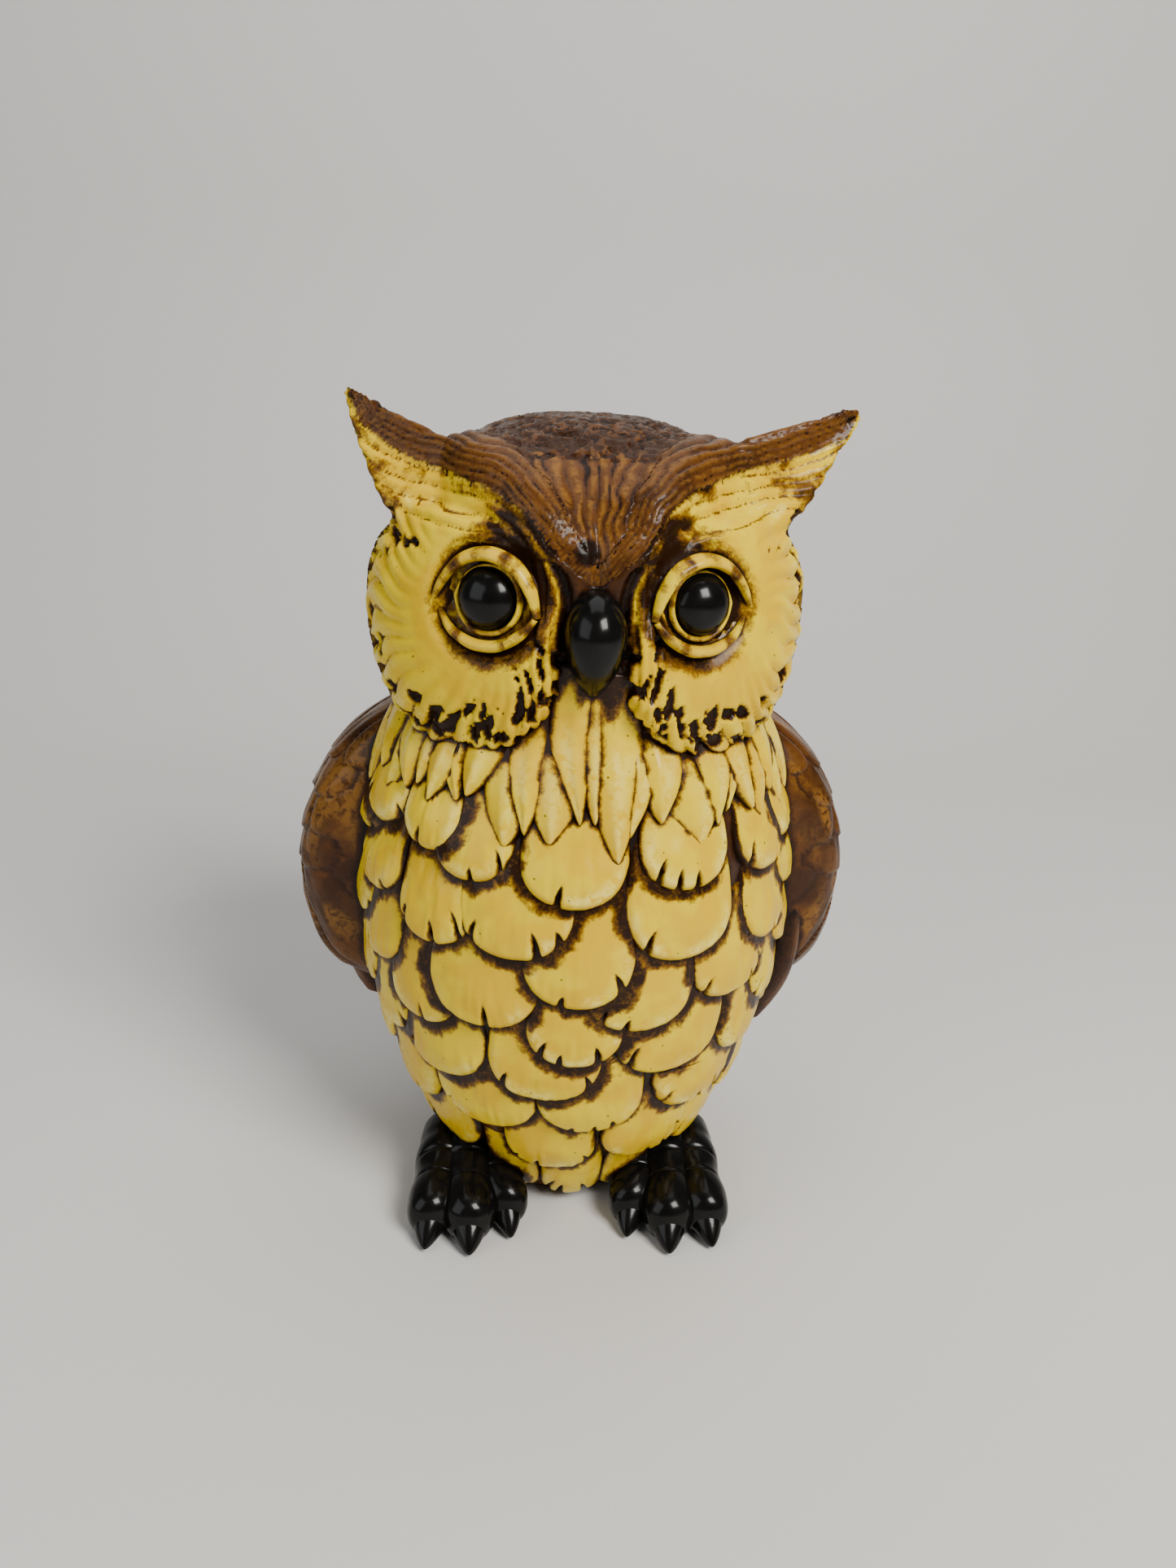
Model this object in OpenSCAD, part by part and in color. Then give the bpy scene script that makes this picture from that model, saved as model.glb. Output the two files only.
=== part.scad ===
// Owl figurine: two hollow castings with cast feathers, wings, ears and feet
// keyed and cemented onto them. Front is -Y, up is +Z, millimetres.

/* [Body casting] */
// Radius of the belly at its widest
belly_r = 63.5; // [58:0.5:68]
// Height of the widest part of the belly
belly_z = 100; // [95:1:105]
// Height of the shoulder, where the head sits
shoulder_z = 150; // [148:1:152]
// Wall thickness of both castings
wall = 5; // [4:0.5:7]
// Radius of the drain hole in the base
drain_r = 9; // [6:0.5:12]

/* [Head casting] */
// Radius of the head seen from above
head_r = 56.5; // [52:0.5:60]
// Height of the widest part of the head
head_z = 183; // [180:1:186]
// Height of the crown above that
crown_h = 48; // [44:1:50]

/* [Face] */
// Angle of each eye from the middle of the face
eye_turn = 27; // [24:1:30]
// Height of the eyes
eye_z = 190; // [187:1:192]
// Radius of the eye beads
eye_bead_r = 8.6; // [7:0.1:9.5]
// Thickness of the face discs
disc_t = 4; // [3:0.5:5]

/* [Feathers] */
// Thickness of the breast feathers
feather_t = 3; // [2:0.5:4]

/* [Feet] */
// Distance of each foot from the middle
foot_x = 30; // [28:1:33]
// Radius of a toe
toe_r = 7.5; // [6.5:0.5:8]

/* [Hidden] */
$fn = 96;

BLACK = [0.02, 0.02, 0.02];
YELLOW = [0.86, 0.74, 0.3];
BROWN = [0.36, 0.2, 0.09];

base_r = 28;           // radius of the flat base
shoulder_r = 54;       // radius where the body's side meets the shoulder
collar_z = 157;        // the body's top edge, which stands round the foot of the head
neck_r = 34;           // radius of the neck spigot
neck_h = 12;
glue_gap = 0.2;        // room for cement round a key
key_r = 3;             // radius of the locating keys
key_in = 4.5;          // how far a key reaches into a wall
rim_r = 12.8;          // outer radius of an eye rim, and of its seat
rim_tube = 2;
eye_seat = 52;         // distance of the eye beads' centres from the middle
beak_z = 181;
disc_turn = 43;        // the face discs wrap round to the sides
disc_z = 179;
disc_half_w = 36;
disc_half_h = 28;
wing_r = 83.5;         // the wings' outer face at its widest
wing_z = 98;           // and the height of that
wing_top_r = 60;       // the same face where it meets the shoulder
wing_front = -16;       // the wings leave the whole breast open in front
covert_low = 63;       // lowest point of the wing's upper feathers
flight_low = 48;       // lowest point of the flight feathers below them
far = 95;              // beyond every surface
gap = 0.3;             // groove between a feather and the ones over it

// An arc through two points of a turned outline, upright at the first: its radius
function arc_radius(across, along) = (across * across + along * along) / (2 * across);
low_arc = arc_radius(belly_r - base_r, belly_z);
high_arc = arc_radius(belly_r - shoulder_r, shoulder_z - belly_z);
wing_arc = arc_radius(wing_r - wing_top_r, shoulder_z + 2 - wing_z);
crown_flat = head_r - crown_h;    // the crown is level this far from the middle

KEY_HOLES = [[eye_turn, eye_z], [-eye_turn, eye_z], [0, beak_z]];

// Each feather: [turn from the front, height of its tip, width, length]
ROWS = [
    [[-63, 123, 26, 24], [-42, 122, 22, 24], [-29, 117, 24, 24], [55, 114, 26, 26]],
    [[-3, 113, 29, 28], [26, 116, 28, 26], [-62, 104, 25, 26]],
    [[-39, 97, 26, 26], [-17, 98, 33, 28], [25, 97, 34, 28], [57, 93, 28, 26]],
    [[-1, 85, 31, 30], [-62, 83, 27, 28], [42, 81, 32, 26]],
    [[-25, 76, 34, 28], [15, 77, 33, 26], [-44, 71, 27, 26], [64, 70, 26, 28]],
    [[-62, 60, 26, 28], [-1, 66, 28, 24], [25, 61, 36, 28], [54, 58, 28, 26]],
    [[-40, 54, 32, 26], [-9, 53, 33, 24], [39, 43, 34, 26], [62, 39, 26, 26]],
    [[-58, 37, 26, 26], [-28, 38, 34, 26], [4, 40, 32, 28], [27, 24, 30, 24], [-8, 21, 28, 24],
        [52, 22, 24, 24], [-50, 20, 24, 24], [1, 4, 18, 20]],
];
FEATHERS = [for (row = ROWS, f = row) f];
BACK_FEATHERS = [for (row = [0:4], place = [-1:1])
    [180 + (place + (row % 2) / 2 - 0.23) * 26, 118 - row * 17 - place * 1.3, 30.5, 27]];
// Each lock of the ruff: [turn from the front, height of its tip, width]
LOCKS = [[-62, 128, 20], [-46, 134, 22], [-30, 131, 20], [-17, 127, 20], [-5, 130, 18], [8, 124, 18],
    [20, 131, 20], [33, 126, 20], [50, 131, 22], [66, 127, 18]];

function body_at(z) = let (arc = z < belly_z ? low_arc : high_arc)
    belly_r - arc + sqrt(arc * arc - pow(z - belly_z, 2));
function head_at(z) = crown_flat + sqrt(crown_h * crown_h - pow(z - head_z, 2));

// Half of the body's outline: two arcs that meet upright at its widest, moved out by grow
module body_outline(grow = 0, top = collar_z) {
    intersection() {
        translate([belly_r - low_arc, belly_z]) circle(r = low_arc + grow);
        square([far, belly_z]);
    }
    intersection() {
        translate([belly_r - high_arc, belly_z]) circle(r = high_arc + grow);
        translate([0, belly_z]) square([far, top - belly_z]);
    }
}

module body_form(grow = 0) {
    rotate_extrude() body_outline(grow);
}

// The hollow of the body, one wall inside its form
module body_hollow() {
    rotate_extrude() intersection() {
        body_outline(-wall, shoulder_z);
        translate([0, wall]) square([far, shoulder_z - 2 * wall]);
    }
}

// Half of the head's outline above a level
module head_outline(grow, level) {
    intersection() {
        union() {
            translate([crown_flat, head_z]) circle(r = crown_h + grow);
            translate([0, level]) square([crown_flat, head_z + crown_h + grow - level]);
        }
        translate([0, level]) square([far, far]);
    }
}

module head_form(grow = 0) {
    rotate_extrude() head_outline(grow, shoulder_z);
}

module head_hollow() {
    rotate_extrude() head_outline(-wall, shoulder_z + wall);
}

// Puts its children on the surface at a turn from the front, with their own Z pointing outwards
module outward(turn, z, distance = 0) {
    rotate([0, 0, turn]) translate([0, -distance, z]) rotate([90, 0, 0]) children();
}

// A round key that reaches from the wall's outer face into it
module key(turn, z, surface, out = 1, r = key_r) {
    outward(turn, z, surface - key_in) cylinder(r = r, h = key_in + out);
}

module body_shell() {
    color(BROWN) difference() {
        union() {
            difference() {
                body_form();
                head_form(glue_gap);
            }
            translate([0, 0, shoulder_z - 1]) cylinder(r = neck_r, h = neck_h + 1);
        }
        body_hollow();
        translate([0, 0, -1]) cylinder(r = drain_r, h = wall + 2);
        translate([0, 0, shoulder_z - wall - 1]) cylinder(r = neck_r - wall, h = neck_h + wall + 2);
        for (side = [-1, 1]) key(side * 80, 105, body_at(105), 4, key_r + glue_gap);
        key(180, 28, body_at(28), 4, key_r + glue_gap);
    }
}

module head_shell() {
    color(BROWN) difference() {
        head_form();
        head_hollow();
        translate([0, 0, shoulder_z - 1]) cylinder(r = neck_r + glue_gap, h = wall + 2);
        for (hole = KEY_HOLES) key(hole[0], hole[1], head_at(hole[1]), 4, key_r + glue_gap);
    }
}

// The space a face piece may take up: a layer over the head, outside the casting
module over_head(from, to) {
    difference() {
        head_form(to);
        head_form(from);
    }
}

module over_body(from, to) {
    difference() {
        body_form(to);
        body_form(from);
    }
}

module disc_outline() {
    polygon([for (turn = [0:10:350]) [disc_half_w * cos(turn), disc_half_h * sin(turn)]]);
}

module facial_disc() {
    color(YELLOW) difference() {
        intersection() {
            over_head(0, disc_t);
            outward(disc_turn, disc_z, 20) linear_extrude(60) disc_outline();
        }
        outward(eye_turn, eye_z, 30) cylinder(r = rim_r, h = 50);
        translate([-far, -far, shoulder_z]) cube([far + 9, 2 * far, far]);
        body_form(glue_gap);
        brow_prism();
    }
}

// The brow runs from above the beak up to the foot of the ear tuft, seen from the front
module brow_prism() {
    rotate([90, 0, 0]) linear_extrude(far)
        polygon([[1, 196], [9.5, 194], [13, 203], [22, 207], [32, 208], [39, 206], [39, 219],
            [36, 225], [30, 224], [18, 217], [8, 207]]);
}

module brow() {
    color(BROWN) difference() {
        intersection() {
            over_head(0, 7);
            brow_prism();
            translate([0, -far, 0]) cube([far, far - 14, 2 * far + far]);
        }
        outward(eye_turn, eye_z, 30) cylinder(r = rim_r, h = 50);
        ear_horn();
    }
}

module ear_horn() {
    hull() {
        translate([34, -24, 214]) sphere(r = 10, $fn = 28);
        translate([46, -21, 209.5]) sphere(r = 7, $fn = 28);
        translate([68, -13, 232]) sphere(r = 3.4, $fn = 28);
    }
}

module ear_tuft() {
    color(BROWN) difference() {
        ear_horn();
        head_form();
    }
}

module eye() {
    color(BLACK) {
        difference() {
            outward(eye_turn, eye_z, eye_seat) sphere(r = eye_bead_r, $fn = 120);
            head_form();
        }
        key(eye_turn, eye_z, head_at(eye_z), 2);
    }
}

module eye_rim() {
    color(YELLOW) difference() {
        outward(eye_turn, eye_z, head_r - 4.5) difference() {
            cylinder(r = rim_r, h = 8.5, $fn = 120);
            translate([0, 0, -1]) cylinder(r = rim_r - 2 * rim_tube, h = 11, $fn = 120);
        }
        head_form();
    }
}

module beak_form() {
    translate([0, -60.5, beak_z]) rotate([6, 0, 0]) rotate_extrude()
        polygon(concat([for (t = [0:10:180]) [(7.6 + 0.9 * cos(t)) * sin(t), 12.6 * cos(t)]]));
}

module beak() {
    color(BLACK) {
        difference() {
            beak_form();
            head_form();
        }
        key(0, beak_z, head_at(beak_z), 2);
    }
}

// A feather's outline: a round tip and straight sides up to where the row above covers it
module feather_outline(w, len, grow) {
    circle(d = w + 2 * grow);
    translate([-w / 2 - grow, 0]) square([w + 2 * grow, len - w / 2 + grow]);
}

module feather_prism(f, grow = 0) {
    outward(f[0], f[1] + f[2] / 2, 24) linear_extrude(50) feather_outline(f[2], f[3], grow);
}

module ruff_prism() {
    for (lock = LOCKS) {
        half = lock[2] / 2 + 3;
        outward(lock[0], lock[1], 24) linear_extrude(50)
            polygon([[0, 0], [half, 16], [half, 36], [-half, 36], [-half, 16]]);
    }
}

module breast_ruff() {
    color(YELLOW) difference() {
        intersection() {
            over_body(0, feather_t + 1);
            ruff_prism();
        }
        head_form(disc_t + glue_gap);
        wings_room();
    }
}

// One feather, cut back where the feathers above it lie over it
module feather(f, others) {
    difference() {
        intersection() {
            over_body(0, feather_t);
            feather_prism(f);
        }
        for (g = others)
            if (g[1] > f[1] && g[1] < f[1] + 48 && abs(g[0] - f[0]) < 45) feather_prism(g, gap);
    }
}

module feather_row(number) {
    color(YELLOW) for (f = ROWS[number]) difference() {
        feather(f, FEATHERS);
        if (number < 3) ruff_prism();
        if (abs(f[0]) > 30) wings_room();
        if (f[1] < 30) feet_room();
    }
}

// The wing's side outline, from its front edge round to the back
module wing_outline(low) {
    polygon([[wing_front, low + 14], [wing_front, 139], [-7, 149], [14, 149], [37, 136], [50, 112],
        [48, 84], [32, low + 4], [12, low], [-8, low + 4]]);
}

module wing_side(low) {
    rotate([90, 0, 90]) linear_extrude(far) wing_outline(low);
}

module wing_form(grow = 0) {
    rotate_extrude() intersection() {
        translate([wing_r - wing_arc, wing_z]) circle(r = wing_arc + grow);
        translate([20, 30]) square([far, shoulder_z - 30]);
    }
}

// The hollow behind a wing: its form one wall in, its outline drawn in towards the middle
module wing_hollow() {
    middle = [17, 106];
    intersection() {
        wing_form(-wall);
        rotate([90, 0, 90]) linear_extrude(far)
            translate(middle) scale(0.84) translate(-middle) wing_outline(covert_low);
    }
}

module wing() {
    color(BROWN) {
        difference() {
            intersection() {
                wing_form();
                wing_side(covert_low);
            }
            wing_hollow();
            body_form();
        }
        key(80, 105, body_at(105), wing_r - belly_r - 2);
    }
}

// The flight feathers show below the wing and are tucked in behind it
module wing_tip() {
    color(BROWN) difference() {
        intersection() {
            body_form(11);
            rotate([90, 0, 90]) linear_extrude(far)
                polygon([[-12, 84], [-8, 57], [10, flight_low], [28, 56], [40, 84]]);
        }
        body_form();
        wing_side(covert_low - gap);
    }
}

module wings_room() {
    wing_side(flight_low);
    mirror([1, 0, 0]) wing_side(flight_low);
}

module feet_room() {
    foot_form();
    mirror([1, 0, 0]) foot_form();
}

module back_feathers() {
    color(BROWN) for (f = BACK_FEATHERS) difference() {
        feather(f, BACK_FEATHERS);
        wings_room();
        tail_form();
    }
}

// The tail reaches the surface behind the body and steadies it
module tail_form() {
    translate([-19, 0, 0]) rotate([90, 0, 90]) linear_extrude(38)
        polygon([[20, 0], [68.3, 0], [68.3, 5], [61, 26], [52, 52], [40, 52]]);
}

module tail() {
    color(BROWN) {
        difference() {
            tail_form();
            body_form();
        }
        key(180, 28, body_at(28), 2);
    }
}

// Each toe: where its tip is from the foot's middle, and its turn
TOES = [[-13, -52, -16], [-1, -59, -4], [12, -57, 10]];

// A toe thickens and rises towards the body, and stands flat on the ground
module toe(t) {
    translate([foot_x + t[0], t[1] + 9, toe_r - 1.5]) rotate([0, 0, t[2]]) {
        sphere(r = toe_r);
        rotate([-84, 0, 0]) cylinder(r1 = toe_r, r2 = toe_r + 3, h = 26);
    }
}

module above_ground() {
    intersection() {
        children();
        translate([-far, -far, 0]) cube([2 * far, far - 12, far]);
    }
}

module foot_form() {
    above_ground() for (t = TOES) toe(t);
}

module foot() {
    color(BLACK) difference() {
        foot_form();
        body_form();
        claws_form();
    }
}

module claws_form() {
    above_ground() for (t = TOES)
        translate([foot_x + t[0], t[1] + 8, 5]) rotate([90 + 22, 0, 0]) cylinder(r1 = 5.8, r2 = 2.4, h = 9);
}

module claws() {
    color(BLACK) claws_form();
}

// The owl's left is on +X; its right side is the mirror image
module right_side() {
    mirror([1, 0, 0]) children();
}

body_shell();
head_shell();
facial_disc();  // left_facial_disc
right_side() facial_disc();  // right_facial_disc
brow();  // left_brow
right_side() brow();  // right_brow
ear_tuft();  // left_ear_tuft
right_side() ear_tuft();  // right_ear_tuft
eye();  // left_eye
right_side() eye();  // right_eye
eye_rim();  // left_eye_rim
right_side() eye_rim();  // right_eye_rim
beak();
breast_ruff();
for (number = [0:7])
    feather_row(number);
wing();  // left_wing
right_side() wing();  // right_wing
wing_tip();  // left_wing_tip
right_side() wing_tip();  // right_wing_tip
back_feathers();
tail();
foot();  // left_foot
right_side() foot();  // right_foot
claws();  // left_claws
right_side() claws();  // right_claws
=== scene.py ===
import bpy
import numpy as np
from mathutils import Matrix, Vector


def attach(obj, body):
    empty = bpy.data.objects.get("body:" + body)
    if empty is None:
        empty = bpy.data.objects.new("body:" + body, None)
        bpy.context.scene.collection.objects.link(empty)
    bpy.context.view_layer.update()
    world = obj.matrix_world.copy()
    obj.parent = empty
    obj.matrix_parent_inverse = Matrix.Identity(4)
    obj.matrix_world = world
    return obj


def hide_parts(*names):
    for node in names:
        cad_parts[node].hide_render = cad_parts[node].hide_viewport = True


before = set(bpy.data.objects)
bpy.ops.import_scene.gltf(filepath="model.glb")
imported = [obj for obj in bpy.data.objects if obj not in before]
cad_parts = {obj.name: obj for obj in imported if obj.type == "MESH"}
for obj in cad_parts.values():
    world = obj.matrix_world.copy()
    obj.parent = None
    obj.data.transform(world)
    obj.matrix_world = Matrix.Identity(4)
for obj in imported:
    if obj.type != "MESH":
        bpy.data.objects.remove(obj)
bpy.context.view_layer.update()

# ---- Body casting -------------------------------------------------------------------------------
# The lower casting is slip-cast earthenware, hollow, with a drain hole in its flat base and a
# collar that the head stands in. It was brushed brown all over before the feathers were
# picked out in yellow, so it shows dark between them. Lengths are millimetres until a mesh is made.
MM = 0.001
BELLY_R, BELLY_Z, BASE_R, SHOULDER_R, SHOULDER_Z, COLLAR_Z = 63.5, 100.0, 28.0, 54.0, 150.0, 157.0
GROUND = 2.0            # the feathers stand on a ground this far inside the outline
DRAIN_R = 9.0


def body_profile(z):
    """The ground's radius at a height, and the way out from it: (across, up)."""
    z = np.asarray(z, float)
    low = ((BELLY_R - BASE_R) ** 2 + BELLY_Z ** 2) / (2 * (BELLY_R - BASE_R))
    rise = SHOULDER_Z - BELLY_Z
    high = ((BELLY_R - SHOULDER_R) ** 2 + rise ** 2) / (2 * (BELLY_R - SHOULDER_R))
    arc = np.where(z < BELLY_Z, low, high)
    run = np.sqrt(np.maximum(arc ** 2 - (z - BELLY_Z) ** 2, 1.0))
    return BELLY_R - arc + run - GROUND, run / arc, (z - BELLY_Z) / arc


def on_body(turn, z, out):
    """Points on the body: a turn from the front in degrees, a height, and how far they stand out."""
    turn, z, out = np.broadcast_arrays(np.radians(turn), z, out)
    r, across, up = body_profile(z)
    r = r + out * across
    return np.stack([np.sin(turn) * r, -np.cos(turn) * r, z + out * up], -1)


HASH = (73856093, 19349663, 83492791)      # large primes that scatter the cells of the relief


def rough(points, size, seed=0):
    """Soft random relief from -1 to 1, with bumps about one size across."""
    p = np.asarray(points, float) / size + 50.0 + seed * 7.31
    cell = np.floor(p).astype(np.int64)
    f = p - cell
    f = f * f * (3 - 2 * f)
    total = 0.0
    for dx in (0, 1):
        for dy in (0, 1):
            for dz in (0, 1):
                corner = (cell + (dx, dy, dz)) * HASH
                n = corner[..., 0] ^ corner[..., 1] ^ corner[..., 2]
                n = ((n ^ (n >> 13)) * 1274126177) & 0x7FFFFFFF
                value = ((n ^ (n >> 15)) & 0xFFFF) / 32767.5 - 1
                weight = (f[..., 0] if dx else 1 - f[..., 0]) * (f[..., 1] if dy else 1 - f[..., 1])
                total = total + value * weight * (f[..., 2] if dz else 1 - f[..., 2])
    return total


def ease(low, high, value):
    """0 below low, 1 above high, and a smooth step between."""
    t = np.clip((np.asarray(value, float) - low) / (high - low), 0, 1)
    return t * t * (3 - 2 * t)


def loft(rings, **marks):
    """A closed solid through a stack of rings, with a value at every point for each mark."""
    n, k = rings.shape[:2]
    points = np.vstack([rings.reshape(-1, 3), rings[0].mean(0), rings[-1].mean(0)])
    i, j = np.arange(n - 1)[:, None] * k, np.arange(k)[None, :]
    after = (j + 1) % k
    quads = np.stack([i + j, i + after, i + k + after, i + k + j], -1).reshape(-1, 4)
    first = np.stack([np.full(k, n * k), after[0], j[0]], -1)
    last = np.stack([np.full(k, n * k + 1), (n - 1) * k + j[0], (n - 1) * k + after[0]], -1)
    tris = np.vstack([first, last])
    corners = points[np.vstack([quads[:, [0, 1, 2]], quads[:, [0, 2, 3]], tris])]
    if np.einsum("ij,ij->", corners[:, 0], np.cross(corners[:, 1], corners[:, 2])) < 0:
        quads, tris = quads[:, ::-1], tris[:, ::-1]
    full = {}
    for name, value in marks.items():
        value = np.broadcast_to(value, (n, k))
        full[name] = np.concatenate([value.ravel(), [value[0].mean(), value[-1].mean()]])
    return {"points": points, "quads": quads, "tris": tris, "marks": full}


def together(solids):
    """Several solids as one."""
    points, quads, tris, start = [], [], [], 0
    names = set().union(*[s["marks"] for s in solids])
    marks = {name: [] for name in names}
    for s in solids:
        points.append(s["points"])
        quads.append(s["quads"] + start)
        tris.append(s["tris"] + start)
        start += len(s["points"])
        for name in names:
            marks[name].append(s["marks"].get(name, np.zeros(len(s["points"]))))
    return {"points": np.vstack(points), "quads": np.vstack(quads), "tris": np.vstack(tris),
            "marks": {name: np.concatenate(values) for name, values in marks.items()}}


def mesh_of(name, solid):
    mesh = bpy.data.meshes.new(name)
    quads, tris = solid["quads"], solid["tris"]
    mesh.vertices.add(len(solid["points"]))
    mesh.vertices.foreach_set("co", (solid["points"] * MM).astype(np.float32).ravel())
    mesh.loops.add(quads.size + tris.size)
    mesh.loops.foreach_set("vertex_index", np.concatenate([quads.ravel(), tris.ravel()]).astype(np.int32))
    mesh.polygons.add(len(quads) + len(tris))
    starts = np.concatenate([np.arange(len(quads)) * 4, quads.size + np.arange(len(tris)) * 3])
    mesh.polygons.foreach_set("loop_start", starts.astype(np.int32))
    mesh.update(calc_edges=True)
    mesh.validate()
    for mark, value in solid["marks"].items():
        mesh.attributes.new(mark, "FLOAT", "POINT").data.foreach_set("value", value.astype(np.float32))
    mesh.shade_smooth()
    if "facing" in solid:
        mesh.normals_split_custom_set_from_vertices(solid["facing"].tolist())
    return mesh


# The pieces gathered here also get their painted shade at the end, together with the wash.
CASTINGS = []           # every finished piece, for the wash at the end
OUTER = {}              # how many of a piece's faces are outside it


def place(name, solid, material, slot, *nodes):
    """Makes the piece, gives it its paint, and puts it where its CAD nodes are."""
    piece = bpy.data.objects.new(name, mesh_of(name, solid))
    OUTER[name] = solid.get("outer", len(piece.data.polygons))
    bpy.context.scene.collection.objects.link(piece)
    piece.data.materials.append(material)
    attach(piece, "root")
    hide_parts(*nodes)
    CASTINGS.append(piece)
    return piece


# The paint is one process on every painted part: a thin coat, blotched where it pooled, then a
# dark oil wash that stays in the recesses and is wiped off the high spots, then clear gloss. The
# darkening in recesses also carries painted shade, taken from the recess mark.
def antique_paint_group():
    group = bpy.data.node_groups.new("antique_paint", "ShaderNodeTree")
    for name, kind, value in [
            ("Paint", "NodeSocketColor", (0.7, 0.5, 0.1, 1)),
            ("Pooled paint", "NodeSocketColor", (0.7, 0.6, 0.3, 1)),
            ("Rubbed", "NodeSocketColor", (0.8, 0.7, 0.45, 1)),
            ("Wash", "NodeSocketColor", (0.13, 0.055, 0.015, 1)),
            ("Deep wash", "NodeSocketColor", (0.02, 0.007, 0.003, 1)),
            ("Wash reach", "NodeSocketFloat", 0.0),
            ("Pool size", "NodeSocketFloat", 90.0), ("Brush marks", "NodeSocketFloat", 0.3),
            ("Specks", "NodeSocketFloat", 1.0)]:
        group.interface.new_socket(name, in_out="INPUT", socket_type=kind).default_value = value
    for name, kind in [("Color", "NodeSocketColor"), ("Roughness", "NodeSocketFloat"),
                       ("Height", "NodeSocketFloat")]:
        group.interface.new_socket(name, in_out="OUTPUT", socket_type=kind)
    nodes, links = group.nodes, group.links
    given, result = nodes.new("NodeGroupInput"), nodes.new("NodeGroupOutput")
    coords = nodes.new("ShaderNodeTexCoord").outputs["Object"]

    def noise(scale, detail, distortion=0.0):
        node = nodes.new("ShaderNodeTexNoise")
        node.inputs["Scale"].default_value = scale
        node.inputs["Detail"].default_value = detail
        node.inputs["Distortion"].default_value = distortion
        links.new(coords, node.inputs["Vector"])
        return node

    def math(kind, a, b=0.0, c=0.0):
        node = nodes.new("ShaderNodeMath")
        node.operation = kind
        for socket, value in zip(node.inputs, (a, b, c)):
            if isinstance(value, (int, float)):
                socket.default_value = value
            else:
                links.new(value, socket)
        return node.outputs[0]

    def step(value, low, high, top=1.0):
        node = nodes.new("ShaderNodeMapRange")
        node.interpolation_type = "SMOOTHSTEP"
        for key, number in (("From Min", low), ("From Max", high), ("To Max", top)):
            node.inputs[key].default_value = number
        links.new(value, node.inputs["Value"])
        return node.outputs["Result"]

    def mix(factor, a, b):
        node = nodes.new("ShaderNodeMix")
        node.data_type = "RGBA"
        links.new(factor, node.inputs["Factor"])
        for socket, value in ((node.inputs["A"], a), (node.inputs["B"], b)):
            if isinstance(value, tuple):
                socket.default_value = value
            else:
                links.new(value, socket)
        return node.outputs["Result"]

    def mark(name):
        node = nodes.new("ShaderNodeAttribute")
        node.attribute_name = name
        return node.outputs["Fac"]

    pools, grime, fine = noise(90, 3, 0.4), noise(420, 3, 0.8), noise(1500, 2)
    links.new(given.outputs["Pool size"], pools.inputs["Scale"])
    paint = mix(step(pools.outputs["Fac"], 0.42, 0.62), given.outputs["Paint"],
                given.outputs["Pooled paint"])
    paint = mix(math("MULTIPLY", mark("rub"), step(grime.outputs["Fac"], 0.3, 0.6, 0.85)), paint,
                given.outputs["Rubbed"])
    broken = math("MULTIPLY_ADD", math("SUBTRACT", grime.outputs["Fac"], 0.5), 0.55,
                  math("MULTIPLY", math("SUBTRACT", fine.outputs["Fac"], 0.5), 0.35))
    # the recess mark is painted shade from the parts round each point as well as pooled wash; it darkens
    # the colour together with the wash mark
    dark = math("MAXIMUM", mark("recess_wash_and_shade"), mark("wash"))
    cover = math("ADD", math("ADD", dark, given.outputs["Wash reach"]), broken)
    thin, deep = step(cover, 0.20, 0.58), step(cover, 0.50, 0.82)
    speck = nodes.new("ShaderNodeTexVoronoi")
    speck.inputs["Scale"].default_value = 260
    speck.inputs["Randomness"].default_value = 1.0
    links.new(coords, speck.inputs["Vector"])
    spot = math("ADD", speck.outputs["Distance"], math("MULTIPLY", fine.outputs["Fac"], 0.12))
    dots = math("MULTIPLY", math("LESS_THAN", spot, 0.14), math("GREATER_THAN", pools.outputs["Fac"], 0.52))
    color = mix(math("MULTIPLY", thin, 0.92), paint, given.outputs["Wash"])
    flecks = math("MULTIPLY", math("MULTIPLY", dots, given.outputs["Specks"]), 0.75)
    color = mix(math("MAXIMUM", deep, flecks), color, given.outputs["Deep wash"])
    links.new(color, result.inputs["Color"])
    dullness = math("MULTIPLY_ADD", grime.outputs["Fac"], 0.16, 0.20)
    links.new(math("MULTIPLY_ADD", thin, 0.10, dullness), result.inputs["Roughness"])
    texture = math("ADD", math("MULTIPLY", pools.outputs["Fac"], 0.6), grime.outputs["Fac"])
    links.new(math("MULTIPLY", texture, given.outputs["Brush marks"]), result.inputs["Height"])
    return group


ANTIQUE_PAINT = antique_paint_group()
BROWN = {"Paint": (0.086, 0.030, 0.006, 1), "Pooled paint": (0.040, 0.014, 0.004, 1),
         "Rubbed": (0.21, 0.092, 0.014, 1),
         "Wash": (0.028, 0.009, 0.003, 1), "Deep wash": (0.008, 0.003, 0.001, 1), "Wash reach": 0.0,
         "Pool size": 75.0, "Brush marks": 0.6, "Specks": 0.5}
YELLOW = {"Paint": (0.66, 0.415, 0.0005, 1), "Pooled paint": (0.73, 0.52, 0.001, 1),
          "Rubbed": (0.84, 0.69, 0.14, 1),
          "Wash": (0.11, 0.032, 0.002, 1), "Deep wash": (0.016, 0.005, 0.001, 1), "Wash reach": 0.0,
          "Pool size": 70.0, "Brush marks": 0.25, "Specks": 1.0}


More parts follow.
